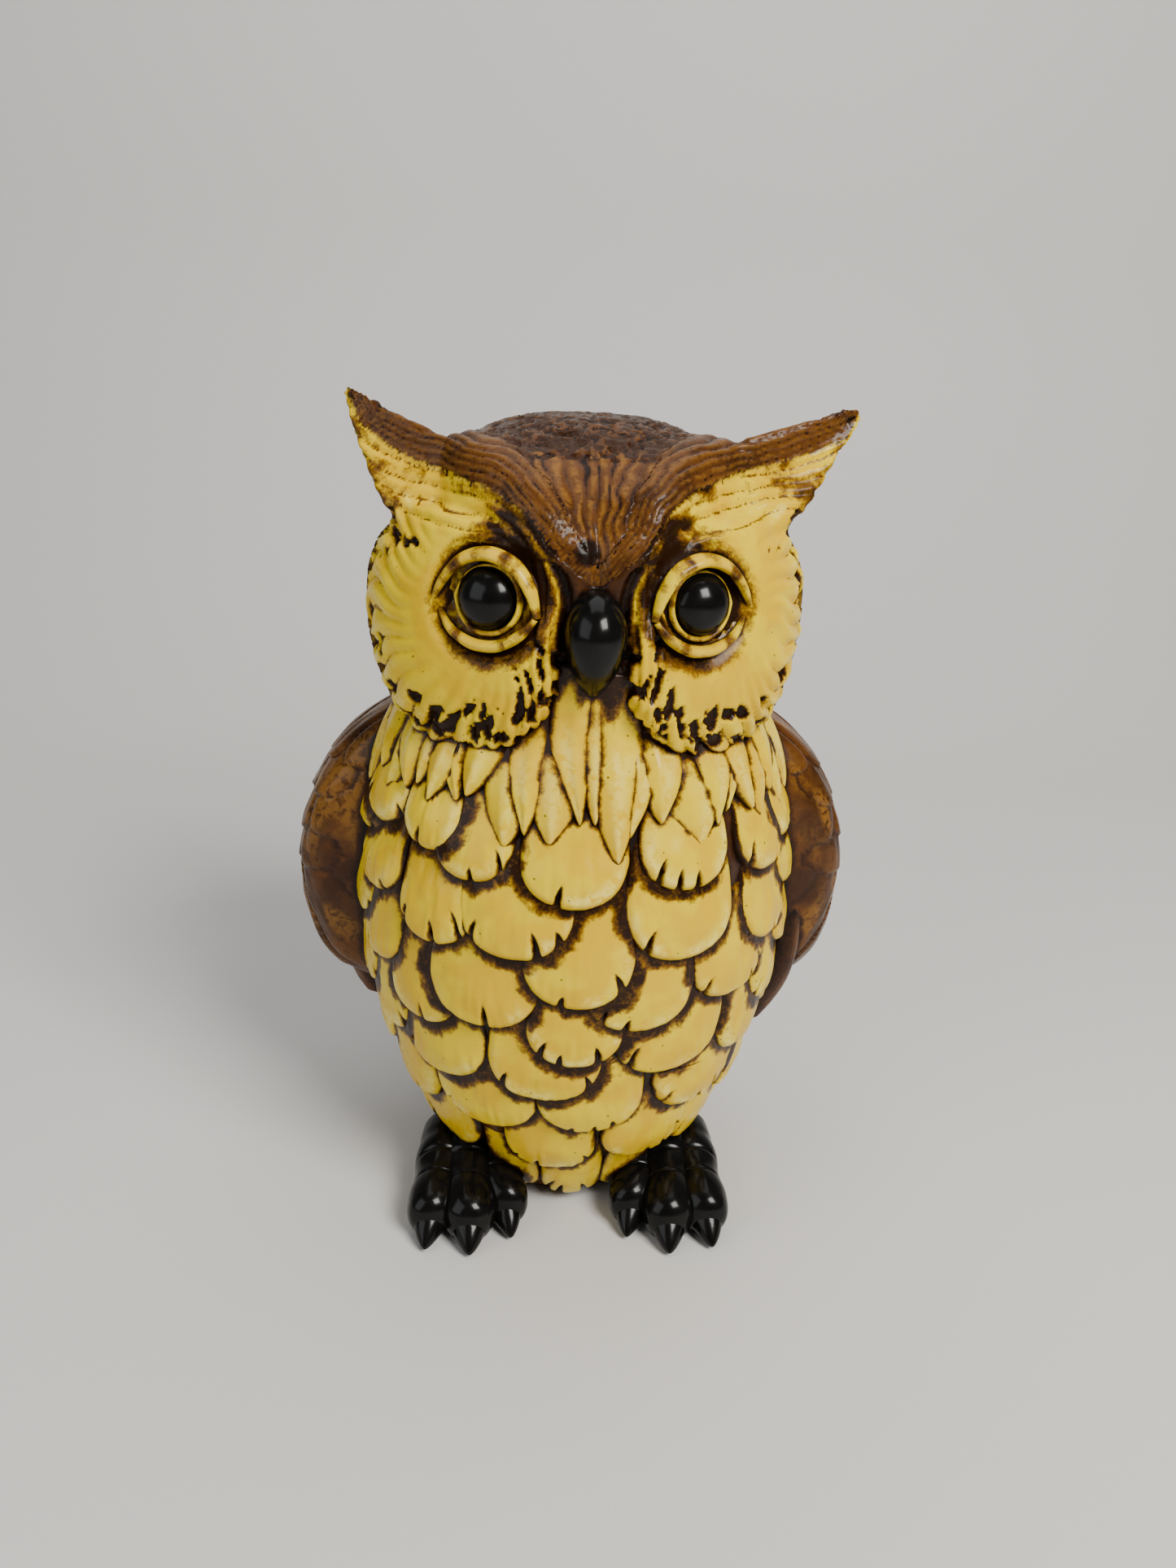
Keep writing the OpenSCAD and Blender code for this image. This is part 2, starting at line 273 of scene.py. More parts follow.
def painted(name, values, bump=0.25, coat=0.16, specular=0.12):
    """A gloss varnish over the antique paint."""
    material = bpy.data.materials.new(name)
    material.use_nodes = True
    nodes, links = material.node_tree.nodes, material.node_tree.links
    shader = nodes["Principled BSDF"]
    paint = nodes.new("ShaderNodeGroup")
    paint.node_tree = ANTIQUE_PAINT
    for key, value in values.items():
        paint.inputs[key].default_value = value
    surface = nodes.new("ShaderNodeBump")
    surface.inputs["Strength"].default_value = bump
    surface.inputs["Distance"].default_value = 0.0004
    links.new(paint.outputs["Height"], surface.inputs["Height"])
    links.new(paint.outputs["Color"], shader.inputs["Base Color"])
    links.new(paint.outputs["Roughness"], shader.inputs["Roughness"])
    links.new(surface.outputs["Normal"], shader.inputs["Normal"])
    shader.inputs["Specular IOR Level"].default_value = specular
    shader.inputs["Coat Weight"].default_value = coat
    shader.inputs["Coat Roughness"].default_value = 0.12
    return material


BROWN_PAINT = painted("brown_paint", BROWN, 0.5, 0.08, 0.14)
YELLOW_PAINT = painted("yellow_paint", YELLOW)


def turned(profile, segments):
    """A profile of (radius, height) points turned about the middle, closed end to end."""
    ring = np.radians(np.arange(segments) * 360 / segments)
    r, z = np.array(profile).T
    grid = np.stack([np.sin(ring)[:, None] * r, -np.cos(ring)[:, None] * r,
                     np.broadcast_to(z, (segments, len(z)))], -1)
    k = len(r)
    i, j = np.arange(segments)[:, None], np.arange(k)[None, :]
    nxt, after = (i + 1) % segments, (j + 1) % k
    quads = np.stack([i * k + j, nxt * k + j, nxt * k + after, i * k + after], -1).reshape(-1, 4)
    return {"points": grid.reshape(-1, 3), "quads": quads, "tris": np.zeros((0, 3), int), "marks": {}}


side_z = np.concatenate([np.linspace(2, 30, 30), np.linspace(31.2, COLLAR_Z, 110)])
outer = list(zip(body_profile(side_z)[0] + np.interp(side_z, [0, 12], [GROUND, 0]), side_z))
foot_edge = [(DRAIN_R, 0.3), (DRAIN_R + 0.4, 0), (14, 0), (20, 0), (BASE_R - 2.2, 0), (BASE_R - 0.6, 0.5)]
inner_z = np.linspace(SHOULDER_Z - 6, 9, 24)
inner = ([(40, COLLAR_Z + 1), (30, COLLAR_Z), (29, SHOULDER_Z)] +
         list(zip(body_profile(inner_z)[0] - 5 + np.interp(inner_z, [9, 14], [-8, 0]), inner_z)))
shell = turned(foot_edge + outer + inner + [(14, 5), (DRAIN_R, 5)], 280)
p = shell["points"]
r = np.hypot(p[:, 0], p[:, 1])
facing = (r > body_profile(p[:, 2])[0] - 2) & (p[:, 2] > 3)
relief = 0.45 * rough(p, 7, 3) + 0.25 * rough(p * [1, 1, 0.4], 3, 4)
p[facing] += ((p[facing] * [1, 1, 0] / r[facing, None]) *
              (relief[facing] * ease(3, 10, p[facing, 2]))[:, None])
shell["marks"]["wash"] = np.where(facing, ease(-0.2, -0.6, relief) * 0.5, 0.2)
place("body_casting", shell, BROWN_PAINT, "brown_glaze", "body_shell")

# ---- Breast feathers ----------------------------------------------------------------------------
# Broad round scale feathers in eight rows, cast proud of the body and lapped like slates. Each
# has a thick rounded lip and one to three nicks cut up from its lower edge, painted yellow
# over cream with the brown wash left in the nicks. Round each rim and in a band below the lip of
# the feather above, the darkening is the wash and also painted shade.
ROWS = [      # each feather: turn from the front, height of its tip, width, length
    [(-71, 118, 24, 26), (-63, 123, 26, 24), (-42, 122, 22, 24), (-29, 117, 24, 24), (55, 114, 26, 26),
     (70, 118, 24, 24)],
    [(-3, 113, 29, 28), (26, 116, 28, 26), (-62, 104, 25, 26), (72, 103, 22, 26)],
    [(-39, 97, 26, 26), (-17, 98, 33, 28), (25, 97, 34, 28), (57, 93, 28, 26), (-73, 92, 24, 26)],
    [(-1, 85, 31, 30), (-62, 83, 27, 28), (42, 81, 32, 26), (73, 84, 24, 26)],
    [(-25, 76, 34, 28), (15, 77, 33, 26), (-44, 71, 27, 26), (64, 70, 26, 28), (-76, 68, 24, 26)],
    [(-62, 60, 26, 28), (-1, 66, 28, 24), (25, 61, 36, 28), (54, 58, 28, 26), (80, 60, 26, 26)],
    [(-40, 54, 32, 26), (-9, 53, 33, 24), (39, 43, 34, 26), (62, 39, 26, 26), (-80, 46, 26, 26)],
    [(-58, 37, 26, 26), (-28, 38, 34, 26), (4, 40, 32, 28), (27, 24, 30, 24), (-8, 21, 28, 24),
     (52, 22, 24, 24), (-50, 20, 24, 24), (1, 4, 20, 22), (78, 22, 24, 24), (-76, 18, 24, 24),
     (-26, 6, 18, 18), (27, 6, 18, 18)],
]
LIP = 4.0               # how far a feather's tip stands out


def feather(turn, tip, width, length, seed, lip=LIP, fine=1.0, over=()):
    """One feather: rings spread from its middle out to its lip, round under it and back."""
    chance = np.random.default_rng(seed)
    half, depth = width / 2, width * 0.46
    length = length + 8
    low = np.radians(np.linspace(-90, 90, int(132 * fine)))
    skew = chance.uniform(-0.12, 0.12)
    a = half * np.sign(np.sin(low)) * np.abs(np.sin(low)) ** 0.93
    b = depth * (1 - np.cos(low) ** 0.92) * (1 + skew * np.sin(low))
    up = np.linspace(depth, length, 12)[1:]
    narrow = half * (1 - 0.22 * ((up - depth) / (length - depth)) ** 2)
    across = np.linspace(narrow[-1], -narrow[-1], 14)[1:-1]
    rim = np.stack([np.concatenate([a, narrow, across, -narrow[::-1]]),
                    np.concatenate([b, up, np.full(12, length), up[::-1]])], -1)
    middle = np.array([0, length * 0.5])
    towards_lip = 1 - 0.28 * (1 - np.linspace(0, 1, int(18 * fine))[1:]) ** 1.5
    s = np.concatenate([np.linspace(0.04, 0.72, int(13 * fine)), towards_lip])
    flat = middle + s[:, None, None] * (rim - middle)
    a, b = flat[..., 0], flat[..., 1]
    spread = np.hypot(*(rim - middle).T)[None, :]
    edge = (1 - s)[:, None] * spread
    lobe = np.stack([a + seed * 40, b, np.zeros_like(a)], -1)
    tuck = np.clip(1 - b / length, 0, 1)
    top = 0.1 + lip * tuck ** 1.35 + 2.1 * (1 - (a / half) ** 2) * ease(-2, 11, b) * tuck
    top = top + 0.30 * rough(lobe, 6, 1) + 0.22 * rough(lobe * [2.2, 0.5, 1], 3, 2)
    roll = np.sqrt(np.clip(1 - (1 - edge / 3.2) ** 2, 0, 1) * (edge < 3.2) + (edge >= 3.2))
    nick, shade = np.zeros_like(a), np.zeros_like(a)
    places = chance.permutation([-0.66, -0.28, 0.1, 0.42, 0.72])[:chance.integers(1, 4)]
    for place_a in places:
        run = chance.uniform(4.0, 9.0)
        lean = -place_a * 0.35 + chance.uniform(-0.1, 0.1)
        foot_a = place_a * half
        foot_b = depth * (1 - np.sqrt(max(0.0, 1 - place_a ** 2)))
        climb = (b - foot_b) / run
        off = np.abs(a - foot_a - lean * (b - foot_b) - 0.7 * np.sin(climb * 3) * place_a)
        wide = chance.uniform(0.6, 0.95) * (1 - 0.75 * np.clip(climb, 0, 1)) + 0.12
        cut = np.exp(-(off / wide) ** 2) * (climb < 1) * ease(1.0, 0.55, climb)
        stained = np.exp(-(off / (wide * 1.25)) ** 2) * ease(1.15, 0.7, climb)
        nick, shade = np.maximum(nick, cut), np.maximum(shade, stained)
    under = -1.4
    height = under + (top - under) * roll
    height = height - nick * (height - 0.2) * 0.6
    rub = (np.exp(-((edge - 3.4) / 1.8) ** 2) * ease(length * 0.62, length * 0.3, b) * (1 - shade) *
           ease(-0.2, 0.5, rough(lobe, 7, 4)))
    # the dark round the rolled rim is the wash and also painted shade under the lip
    wash = np.maximum(shade * 0.95, ease(1.7, 0.5, edge + 0.35 * rough(lobe, 2.5, 3)) * 0.85)
    girth = np.maximum(body_profile(tip + b)[0], 20)
    for g_turn, g_tip, g_width, _ in over:
        if g_tip > tip + 2 and abs(g_turn - turn) < 70:
            ga, gb = np.radians(turn - g_turn) * girth + a, tip + b - g_tip
            g_half, g_depth = g_width / 2, g_width * 0.46
            round_end = (np.hypot(ga / g_half, (g_depth - gb) / g_depth) - 1) * (g_half + g_depth) / 2
            beyond = np.where(gb < g_depth, round_end, np.abs(ga) - g_half)
            # painted shade below the lip of the covering feather, along with the wash; no rubbing there
            lip_wash_and_shade = ease(4.6, 0.2, beyond + 1.6 * rough(lobe, 4, 5) + 0.8 * rough(lobe, 1.3, 6)) * (gb > -9)
            wash, rub = np.maximum(wash, lip_wash_and_shade * 0.80), rub * (1 - lip_wash_and_shade)
    back = np.stack([flat[-1], middle + 0.6 * (rim - middle)])
    flat = np.concatenate([flat, back])
    height = np.concatenate([height, [np.full(len(rim), -2.2), np.full(len(rim), -2.4)]])
    wash = np.concatenate([wash, np.ones((2, len(rim)))])
    rub = np.concatenate([rub, np.zeros((2, len(rim)))])
    z = tip + flat[..., 1]
    r = body_profile(z)[0]
    points = on_body(turn + np.degrees(flat[..., 0] / np.maximum(r, 20)), z, height)
    return loft(points, wash=wash, rub=rub)


every_feather = [one for row in ROWS for one in row]
for number, row in enumerate(ROWS, 1):
    scales = [feather(*one, seed=number * 20 + k, over=every_feather) for k, one in enumerate(row)]
    place(f"breast_feathers_{number}", together(scales), YELLOW_PAINT, "yellow_glaze",
          f"feather_row_{number}")

# ---- Ruff ---------------------------------------------------------------------------------------
# A collar of long flame-shaped locks hangs from under the chin over the top feathers, part of
# the same casting. Their points curl to one side and the slits between them hold the wash.
LOCKS = [     # turn at the root, turn at the tip, height of the tip, width
    (-78, -74, 127, 14), (-67, -67, 136, 11), (-60, -59, 130, 12), (-53, -54, 135, 11), (-47, -48, 137, 10),
    (-41, -42, 134, 11), (-35, -37, 136, 10), (-29, -31, 138, 11), (-22, -19, 127, 15), (-14, -17, 131, 10),
    (-9, -9, 128.5, 18), (-3, -4, 134, 10), (1, 2, 134, 12), (5, 8, 124, 14), (11, 12.5, 131, 11),
    (17, 20, 134, 12), (25, 32, 126, 19), (32, 37, 131, 11), (39, 41, 134, 11), (46, 47, 132, 11),
    (52, 54, 129, 12), (59, 60, 134, 11), (66, 65, 127, 13), (75, 73, 129, 15),
]


def lock(root_turn, tip_turn, tip, width, seed, root=158.0, crest=3.4, place_on=on_body, lift=0.0):
    """One lock, swept from its root down to its point."""
    chance = np.random.default_rng(seed)
    t = np.linspace(0, 1, 64)[:, None]
    v = np.linspace(-1, 1, 15)[None, :]
    curl = chance.uniform(-1, 1)
    z = root + (tip - root) * t
    r = body_profile(z)[0]
    turn = root_turn + (tip_turn - root_turn) * t ** 1.5 + curl * 3.0 * np.sin(t * 4.4)
    half = width / 2 * (0.90 + 0.22 * np.sin(np.pi * t)) * np.clip(1 - t ** 2.1, 0, 1) ** 0.85
    half = half * (1 + 0.05 * np.sin(t * 9 + seed))
    body = crest * (0.30 + 0.85 * np.sin(np.pi * (0.02 + 0.68 * t))) * np.clip((1 - t) / 0.06, 0, 1) ** 0.5
    top = (lift * (1 - 0.7 * t ** 3) + body * (1 - np.abs(v) ** 2.6) ** 0.75 +
           0.35 * np.cos(v * np.pi * 2.4 + curl * 2) * (1 - v ** 2) * ease(0, 0.2, 1 - t))
    shade = (np.maximum(ease(0.66, 0.95, np.abs(v)) * 0.62,
                        ease(0.25, 0.06, t + 0.06 * np.sin(v * 7 + seed)) * 0.85) + 0 * t)
    rub = 0.7 * np.exp(-((v - 0.2 * curl) / 0.3) ** 2) * ease(0.2, 0.5, t)
    bottom = np.full_like(top, -1.6)
    turn_all = turn + np.degrees(half * v / r)
    ring = place_on(turn_all, z + 0 * v, top)
    under = place_on((turn + np.degrees(half * v[:, ::-1] / r))[:, 1:-1], (z + 0 * v)[:, 1:-1],
                     bottom[:, 1:-1])
    solid_rings = np.concatenate([ring, under], 1)
    side = under.shape[1]
    return loft(solid_rings, wash=np.concatenate([shade, np.ones((64, side))], 1),
                rub=np.concatenate([rub + 0 * shade, np.zeros((64, side))], 1))


def on_throat(turn, z, out):
    """Over the body, and above its collar over the underside of the head."""
    chin = 8.5 + np.sqrt(48.0 ** 2 - (np.maximum(z, 159) - 183.0) ** 2) + 1.0
    r = body_profile(np.minimum(z, 156))[0]
    return on_body(turn, z, out + chin * ease(146, 166, z) + r * (1 - ease(146, 166, z)) -
                   body_profile(z)[0])


ruff = []
for k, (root_turn, tip_turn, tip, width) in enumerate(LOCKS):
    root = 157 + 12 * np.exp(-(root_turn / 12) ** 2)
    ruff.append(lock(root_turn, tip_turn, tip, width * 1.3, seed=300 + k, root=root, crest=2.8,
                     place_on=on_throat, lift=1.0 + 0.7 * (k % 2)))
place("breast_ruff_locks", together(ruff), YELLOW_PAINT, "yellow_glaze", "breast_ruff")

# ---- Back feathers ------------------------------------------------------------------------------
# The same scales carry on round the back, lapped in rows between the wings and left brown.
coat = []
for row in range(7):
    for k in range(-3, 4):
        coat.append((180 + (k + (row % 2) / 2 - 0.25) * 21, 126 - row * 15.5 - abs(k) * 1.5, 26, 26))
backs = [feather(*f, seed=600 + k, lip=3.4, fine=0.55) for k, f in enumerate(coat) if abs(f[0] - 180) < 62]
place("back_feather_coat", together(backs), BROWN_PAINT, "brown_glaze", "back_feathers")

# ---- Wings --------------------------------------------------------------------------------------
# Each folded wing is a hollow-backed pad cemented to the side: short lapped coverts above, long
# feathers below, in brown rubbed back to gold on the ridges.
WING_ARC, WING_R, WING_Z = 73.8, 83.5, 98.0
WING_EDGE = [(-13, 80), (-16, 100), (-17, 122), (-15, 140), (-8, 150), (8, 152), (30, 142), (45, 122),
             (50, 100), (46, 80), (36, 67), (26, 61), (16, 64), (8, 60.5), (0, 65), (-6, 62), (-11, 69)]
FLIGHT_TIP = {1: 48, -1: 55}      # how high the first flight feather's tip is on each side


def smooth_loop(corners, count):
    """A closed curve through corners, evenly spread."""
    c = np.array(corners, float)
    t = np.linspace(0, len(c), count, endpoint=False)
    i = np.floor(t).astype(int)
    f = (t - i)[:, None]
    a, b, d, e = (c[(i + k) % len(c)] for k in (-1, 0, 1, 2))
    return (0.5 * (2 * b + (d - a) * f + (2 * a - 5 * b + 4 * d - e) * f ** 2 +
                   (3 * b - a - 3 * d + e) * f ** 3))


def lapped(y, z, feathers):
    """Height and wash of lapped feathers over a flat drawing; the first ones lie on top."""
    height, wash, covered = np.zeros_like(y), np.full_like(y, 0.4), np.zeros(y.shape, bool)
    for fy, fz, width, length, lean in feathers:
        c, s = np.cos(np.radians(lean)), np.sin(np.radians(lean))
        a, b = c * (y - fy) + s * (z - fz), -s * (y - fy) + c * (z - fz)
        depth = width * 0.6
        half = width / 2 * np.where(b < depth, np.sqrt(np.clip(1 - (1 - b / depth) ** 2, 0, 1)), 1)
        inside = (b > 0) & (b < length) & (np.abs(a) < half) & ~covered
        edge = np.minimum(half - np.abs(a), b)
        shape = (2.2 * (1 - b / length) + 0.9 * (1 - (a / np.maximum(half, 0.1)) ** 2) -
                 1.8 * ease(1.6, 0, edge))
        shape = shape - 0.5 * np.exp(-(a / 0.6) ** 2) * ease(0, 5, b)
        height = np.where(inside, shape, height)
        wash = np.where(inside, np.maximum(ease(1.3, 0.2, edge) * 0.8, 0.35 * np.exp(-(a / 0.7) ** 2)),
                        wash)
        covered |= inside
    return height, wash


wing_feathers = [(-15 + 11 * k + 5 * (row % 2), 134 - 11 * row - 0.9 * k, 12.5, 18, 4 * k - 8)
                 for row in range(4) for k in range(7)]
wing_feathers += [(-14 + 8 * k, 64 + 2.2 * (k % 2), 9.5, 56, 3 * k - 8) for k in range(9)]


def wing(side):
    rim = smooth_loop(WING_EDGE, 330)
    middle = np.array([16.0, 105.0])
    s = np.concatenate([np.linspace(0.03, 0.85, 44), 1 - 0.15 * (1 - np.linspace(0, 1, 15)[1:]) ** 1.6])
    flat = middle + s[:, None, None] * (rim - middle)
    y, z = flat[..., 0], flat[..., 1]
    full = WING_R - WING_ARC + np.sqrt(np.maximum(WING_ARC ** 2 - (z - WING_Z) ** 2, 1))
    far = np.sqrt(np.maximum(full ** 2 - y ** 2, 100))
    near = np.sqrt(np.maximum(body_profile(z)[0] ** 2 - y ** 2, 64)) - 3
    drawn = np.stack([y, z, np.zeros_like(y) + side * 50], -1)
    raised, wash = lapped(y + 1.2 * rough(drawn, 12, 6), z + 0.8 * rough(drawn, 9, 7), wing_feathers)
    grain = 0.45 * rough(drawn * [1.8, 0.35, 1], 3.0, 8)
    x = (near + (far - 2.6 - near) * (1 - s[:, None] ** 7) ** 0.5 +
         (0.65 * raised + grain) * ease(1, 0.93, s)[:, None])
    points = np.stack([side * x, y, z], -1)
    back = np.stack([side * (near[-1] - 1), y[-1], z[-1]], -1)
    points = np.concatenate([points, [back, back * 0.6 + points[0].mean(0) * [0.28, 0.4, 0.4]]])
    wash = np.concatenate([wash, np.ones((2, len(rim)))])
    gold = ease(-0.15, 0.4, rough(drawn * [1.6, 0.3, 1], 4, 9)) * ease(26, 8, y) * ease(66, 84, z)
    rub = np.concatenate([np.maximum(gold, 0.3 * ease(1.4, 2.8, raised)), np.zeros((2, len(rim)))])
    return loft(points, wash=0.75 * wash, rub=rub)


for side, which in ((1, "left"), (-1, "right")):
    place(f"{which}_folded_wing", wing(side), BROWN_PAINT, "brown_glaze", f"{which}_wing")
    flights = []
    for k in range(4):
        back = 10 * k - 3 * side
        flights.append(lock(side * (88 + back), side * (87 + back), FLIGHT_TIP[side] + 3.0 * k, 14,
                            seed=700 + k, root=96, crest=4.5, lift=7.0))
    place(f"{which}_flight_feathers", together(flights), BROWN_PAINT, "brown_glaze", f"{which}_wing_tip")

# ---- Tail ---------------------------------------------------------------------------------------
# Five stiff tail feathers pressed together reach the ground behind and steady the figure.
t, v = np.linspace(0, 1, 60)[:, None], np.linspace(0, 360, 96, endpoint=False)[None, :]
width = 15 + 4 * t
cos, sin = np.cos(np.radians(v)), np.sin(np.radians(v))
ribs = np.abs(np.sin(cos * np.pi * 2.5)) ** 0.5
x = width * np.sign(cos) * np.abs(cos) ** 0.7
depth = 8.5 - 3.5 * t
y = 47 + 17 * t ** 1.4 + depth * np.sign(sin) * np.abs(sin) ** 0.75 - 1.2 * (1 - ribs) * (sin > 0)
z = np.maximum(54 * (1 - t) + 0.3 + 0 * v + 1.4 * (1 - ribs) * (t > 0.97), 0.2)
tail = loft(np.stack([x + 0 * z, y, z], -1), wash=ease(0.5, 0.1, ribs) * 0.8 + 0 * z,
            rub=ease(0.6, 1, ribs) * (sin > 0) + 0 * z)
place("tail_feathers", tail, BROWN_PAINT, "brown_glaze", "tail")

# ---- Head casting, face discs, brows and ear tufts ----------------------------------------------
# The head is one casting: a round crown, a proud disc about each eye, and brow ridges that sweep
# up from the beak and out into the ear tufts. It is modelled as one clay form, smoothed, then tooled:
# combed brows, raked discs with a nicked rim, and a stippled crown. Then it is parted into its pieces.
HEAD_Z, CROWN_H, CROWN_FLAT, EYE_TURN, EYE_LIFT = 183.0, 48.0, 8.5, 27.0, 8.4
EYE_SEAT = 4.6          # how far the disc dips where the bead sits
DISC_REACH = ([-180, -160, -140, -120, -100, -90, -75, -60, -40, -20, 0, 12, 24, 40, 60, 80, 100, 120,
               150, 180],
              [18, 20, 26, 33, 39, 41, 44, 47, 51, 52, 51, 48, 42, 34, 24, 19, 17.5, 17, 17, 18])
BROW_LINE = {   # where the brown brow ends and the yellow begins, seen from the front: (x, z)
    1: [(3, 196), (12.6, 203.6), (16.8, 211), (22.7, 215.4), (30.3, 218), (44.4, 220.9), (58.5, 224.6),
        (67.4, 228.4), (71, 236)],
    -1: [(-3, 196), (-11.5, 202.8), (-18.3, 211), (-24.6, 214.5), (-31.2, 216.3), (-45.3, 219.5),
         (-53.3, 222.9), (-59.8, 227.6), (-63.5, 238)],
}
BROW_WIDTH = ([0, 0.15, 0.4, 0.75, 1], [3.5, 7, 9.5, 8, 3])
EAR_TOP = {1: [(20, -22, 212), (30, -26, 223.5), (38, -23, 228), (50, -19, 231), (58, -16.5, 233.3),
               (65.5, -13.5, 235.4), (70.2, -12, 235.6)],
           -1: [(-20, -22, 212), (-31, -26, 223.5), (-39.3, -23, 226.6), (-46, -20, 229.2),
                (-52.5, -17, 231.9), (-58, -14, 234.8), (-63.2, -11, 237)]}
EAR_LOW = {1: [(36, -33, 196), (50, -28, 204.5), (56, -23, 210.4), (61, -19, 217), (64.8, -16, 223.3),
               (68, -14, 228.5), (71, -12, 233)],
           -1: [(-36, -33, 196), (-50, -28, 205), (-54.6, -23.5, 210.5), (-57.6, -20, 216),
                (-60.2, -17, 222), (-62.6, -14, 229), (-64.2, -11, 235)]}
EAR_DEPTH = [15, 13, 10.5, 8, 5.8, 3.6, 1.4]


def face_place(p, side):
    """Where a point is from one eye: the way to it, how far, and how far the disc reaches that way."""
    turn = np.degrees(np.arctan2(p[..., 0] * side, -p[..., 1]))
    lift = np.degrees(np.arctan2(p[..., 2] - HEAD_Z, np.hypot(p[..., 0], p[..., 1]) - CROWN_FLAT))
    a, b = (turn - EYE_TURN) * 0.98, (lift - EYE_LIFT) * 0.838
    way = np.degrees(np.arctan2(b, a))
    return way, np.hypot(a, b), np.interp(way, *DISC_REACH)


def brow_place(p, side):
    """How far along the brow line a point is, from 0 to 1, and how far above it, seen from the front."""
    line = np.array(BROW_LINE[side], float)
    fine = np.stack([np.interp(np.linspace(0, len(line) - 1, 90), np.arange(len(line)), line[:, k])
                     for k in (0, 1)], -1)
    flat = p[..., [0, 2]]
    gap = ((flat[:, None, :] - fine[None]) ** 2).sum(-1)
    near = gap.argmin(1)
    ahead = fine[np.minimum(near + 1, 89)] - fine[np.maximum(near - 1, 0)]
    off = flat - fine[near]
    above = side * (ahead[:, 0] * off[:, 1] - ahead[:, 1] * off[:, 0])
    return near / 89, np.sqrt(gap.min(1)) * np.sign(above)


lift = np.radians(np.linspace(-42, 89.2, 190))[:, None]
turn = np.radians(np.linspace(0, 360, 420, endpoint=False))[None, :]
r = CROWN_FLAT + CROWN_H * np.cos(lift)
clay = np.stack([np.sin(turn) * r, -np.cos(turn) * r, HEAD_Z + CROWN_H * np.sin(lift) + 0 * turn],
                -1).reshape(-1, 3)
way_out = np.stack([np.sin(turn) * np.cos(lift), -np.cos(turn) * np.cos(lift), np.sin(lift) + 0 * turn],
                   -1).reshape(-1, 3)
form = np.zeros(len(clay))
for side in (1, -1):
    way, far, reach = face_place(clay, side)
    droop = ease(-10, -60, way) * ease(-175, -130, way)
    plate = 3.4 + 2.0 * ease(10, 40, far) + 4.2 * droop * ease(12, 40, far)
    form = np.maximum(form, plate * ease(0, 6, reach - far))
for side in (1, -1):
    way, far, reach = face_place(clay, side)
    along, above = brow_place(clay, side)
    ridge = (np.exp(-((above - 3) / 7.0) ** 2) * (clay[:, 0] * side > 1) * (clay[:, 1] < -18) *
             ease(0.75, 0.5, along))
    form = np.maximum(form, ridge * np.interp(along, [0, 0.2, 0.5], [2.0, 5.5, 7.0]))
    form -= EYE_SEAT * ease(16.5, 11, far)
form -= 2.5 * np.exp(-((clay[:, 0] / 9) ** 2 + ((clay[:, 2] - 181) / 15) ** 2)) * (clay[:, 1] < 0)
clay = (clay + way_out * form[:, None]).reshape(190, 420, 3)
lumps = [loft(clay)]
for side in (1, -1):
    steps = np.linspace(0, 6, 70)
    top, low = (np.stack([np.interp(steps, range(7), np.array(g[side])[:, k]) for k in range(3)], -1)
                for g in (EAR_TOP, EAR_LOW))
    for _ in range(6):
        for g in (top, low):
            g[1:-1] = (g[:-2] + 2 * g[1:-1] + g[2:]) / 4
    thick = np.interp(steps, range(7), EAR_DEPTH)[:, None, None]
    centre, tall = (top + low) / 2, (top - low) / 2
    ahead = np.gradient(centre, axis=0)
    front = np.cross(tall, ahead) * side
    front /= np.linalg.norm(front, axis=1)[:, None]
    front *= -np.sign(front[:, 1:2])
    around = np.radians(np.linspace(0, 360, 72, endpoint=False))[None, :, None]
    s = np.sin(around)
    dish = np.where(s > 0, 0.22 * np.abs(s) ** 0.6 -
                    0.34 * s ** 4 * ease(0, 20, steps * 8)[:, None, None], s)
    lumps.append(loft(centre[:, None] + tall[:, None] * np.cos(around) + front[:, None] * dish * thick))
rough_head = bpy.data.objects.new("head_clay", mesh_of("head_clay", together(lumps)))
bpy.context.scene.collection.objects.link(rough_head)
blend = rough_head.modifiers.new("one clay body", "REMESH")
blend.mode, blend.voxel_size = "VOXEL", 0.0008
head_mesh = bpy.data.meshes.new_from_object(rough_head.evaluated_get(bpy.context.evaluated_depsgraph_get()))
bpy.data.objects.remove(rough_head)

points = np.empty(len(head_mesh.vertices) * 3)
head_mesh.vertices.foreach_get("co", points)
points = points.reshape(-1, 3) / MM
edges = np.empty(len(head_mesh.edges) * 2, np.int32)
head_mesh.edges.foreach_get("vertices", edges)
edges = edges.reshape(-1, 2)
links_of = np.bincount(edges.ravel(), minlength=len(points))[:, None]


def relaxed(values, times, amount=0.5):
    """Evens out values between neighbouring points."""
    values = values.reshape(len(values), -1)
    for _ in range(times):
        total = np.stack([np.bincount(edges[:, 0], values[edges[:, 1], k], len(values)) +
                          np.bincount(edges[:, 1], values[edges[:, 0], k], len(values))
                          for k in range(values.shape[1])], -1)
        values = values + amount * (total / links_of - values)
    return values


tip_keep = ease(60, 66, np.abs(points[:, 0]))[:, None] * (points[:, 2:3] > 225)
points = points * tip_keep + relaxed(points, 14) * (1 - tip_keep)
head_mesh.vertices.foreach_set("co", (points * MM).astype(np.float32).ravel())
head_mesh.update()
normals = np.empty(len(points) * 3, np.float32)
head_mesh.vertex_normals.foreach_get("vector", normals)
normals = relaxed(normals.reshape(-1, 3).astype(float), 3)
normals /= np.linalg.norm(normals, axis=1)[:, None]

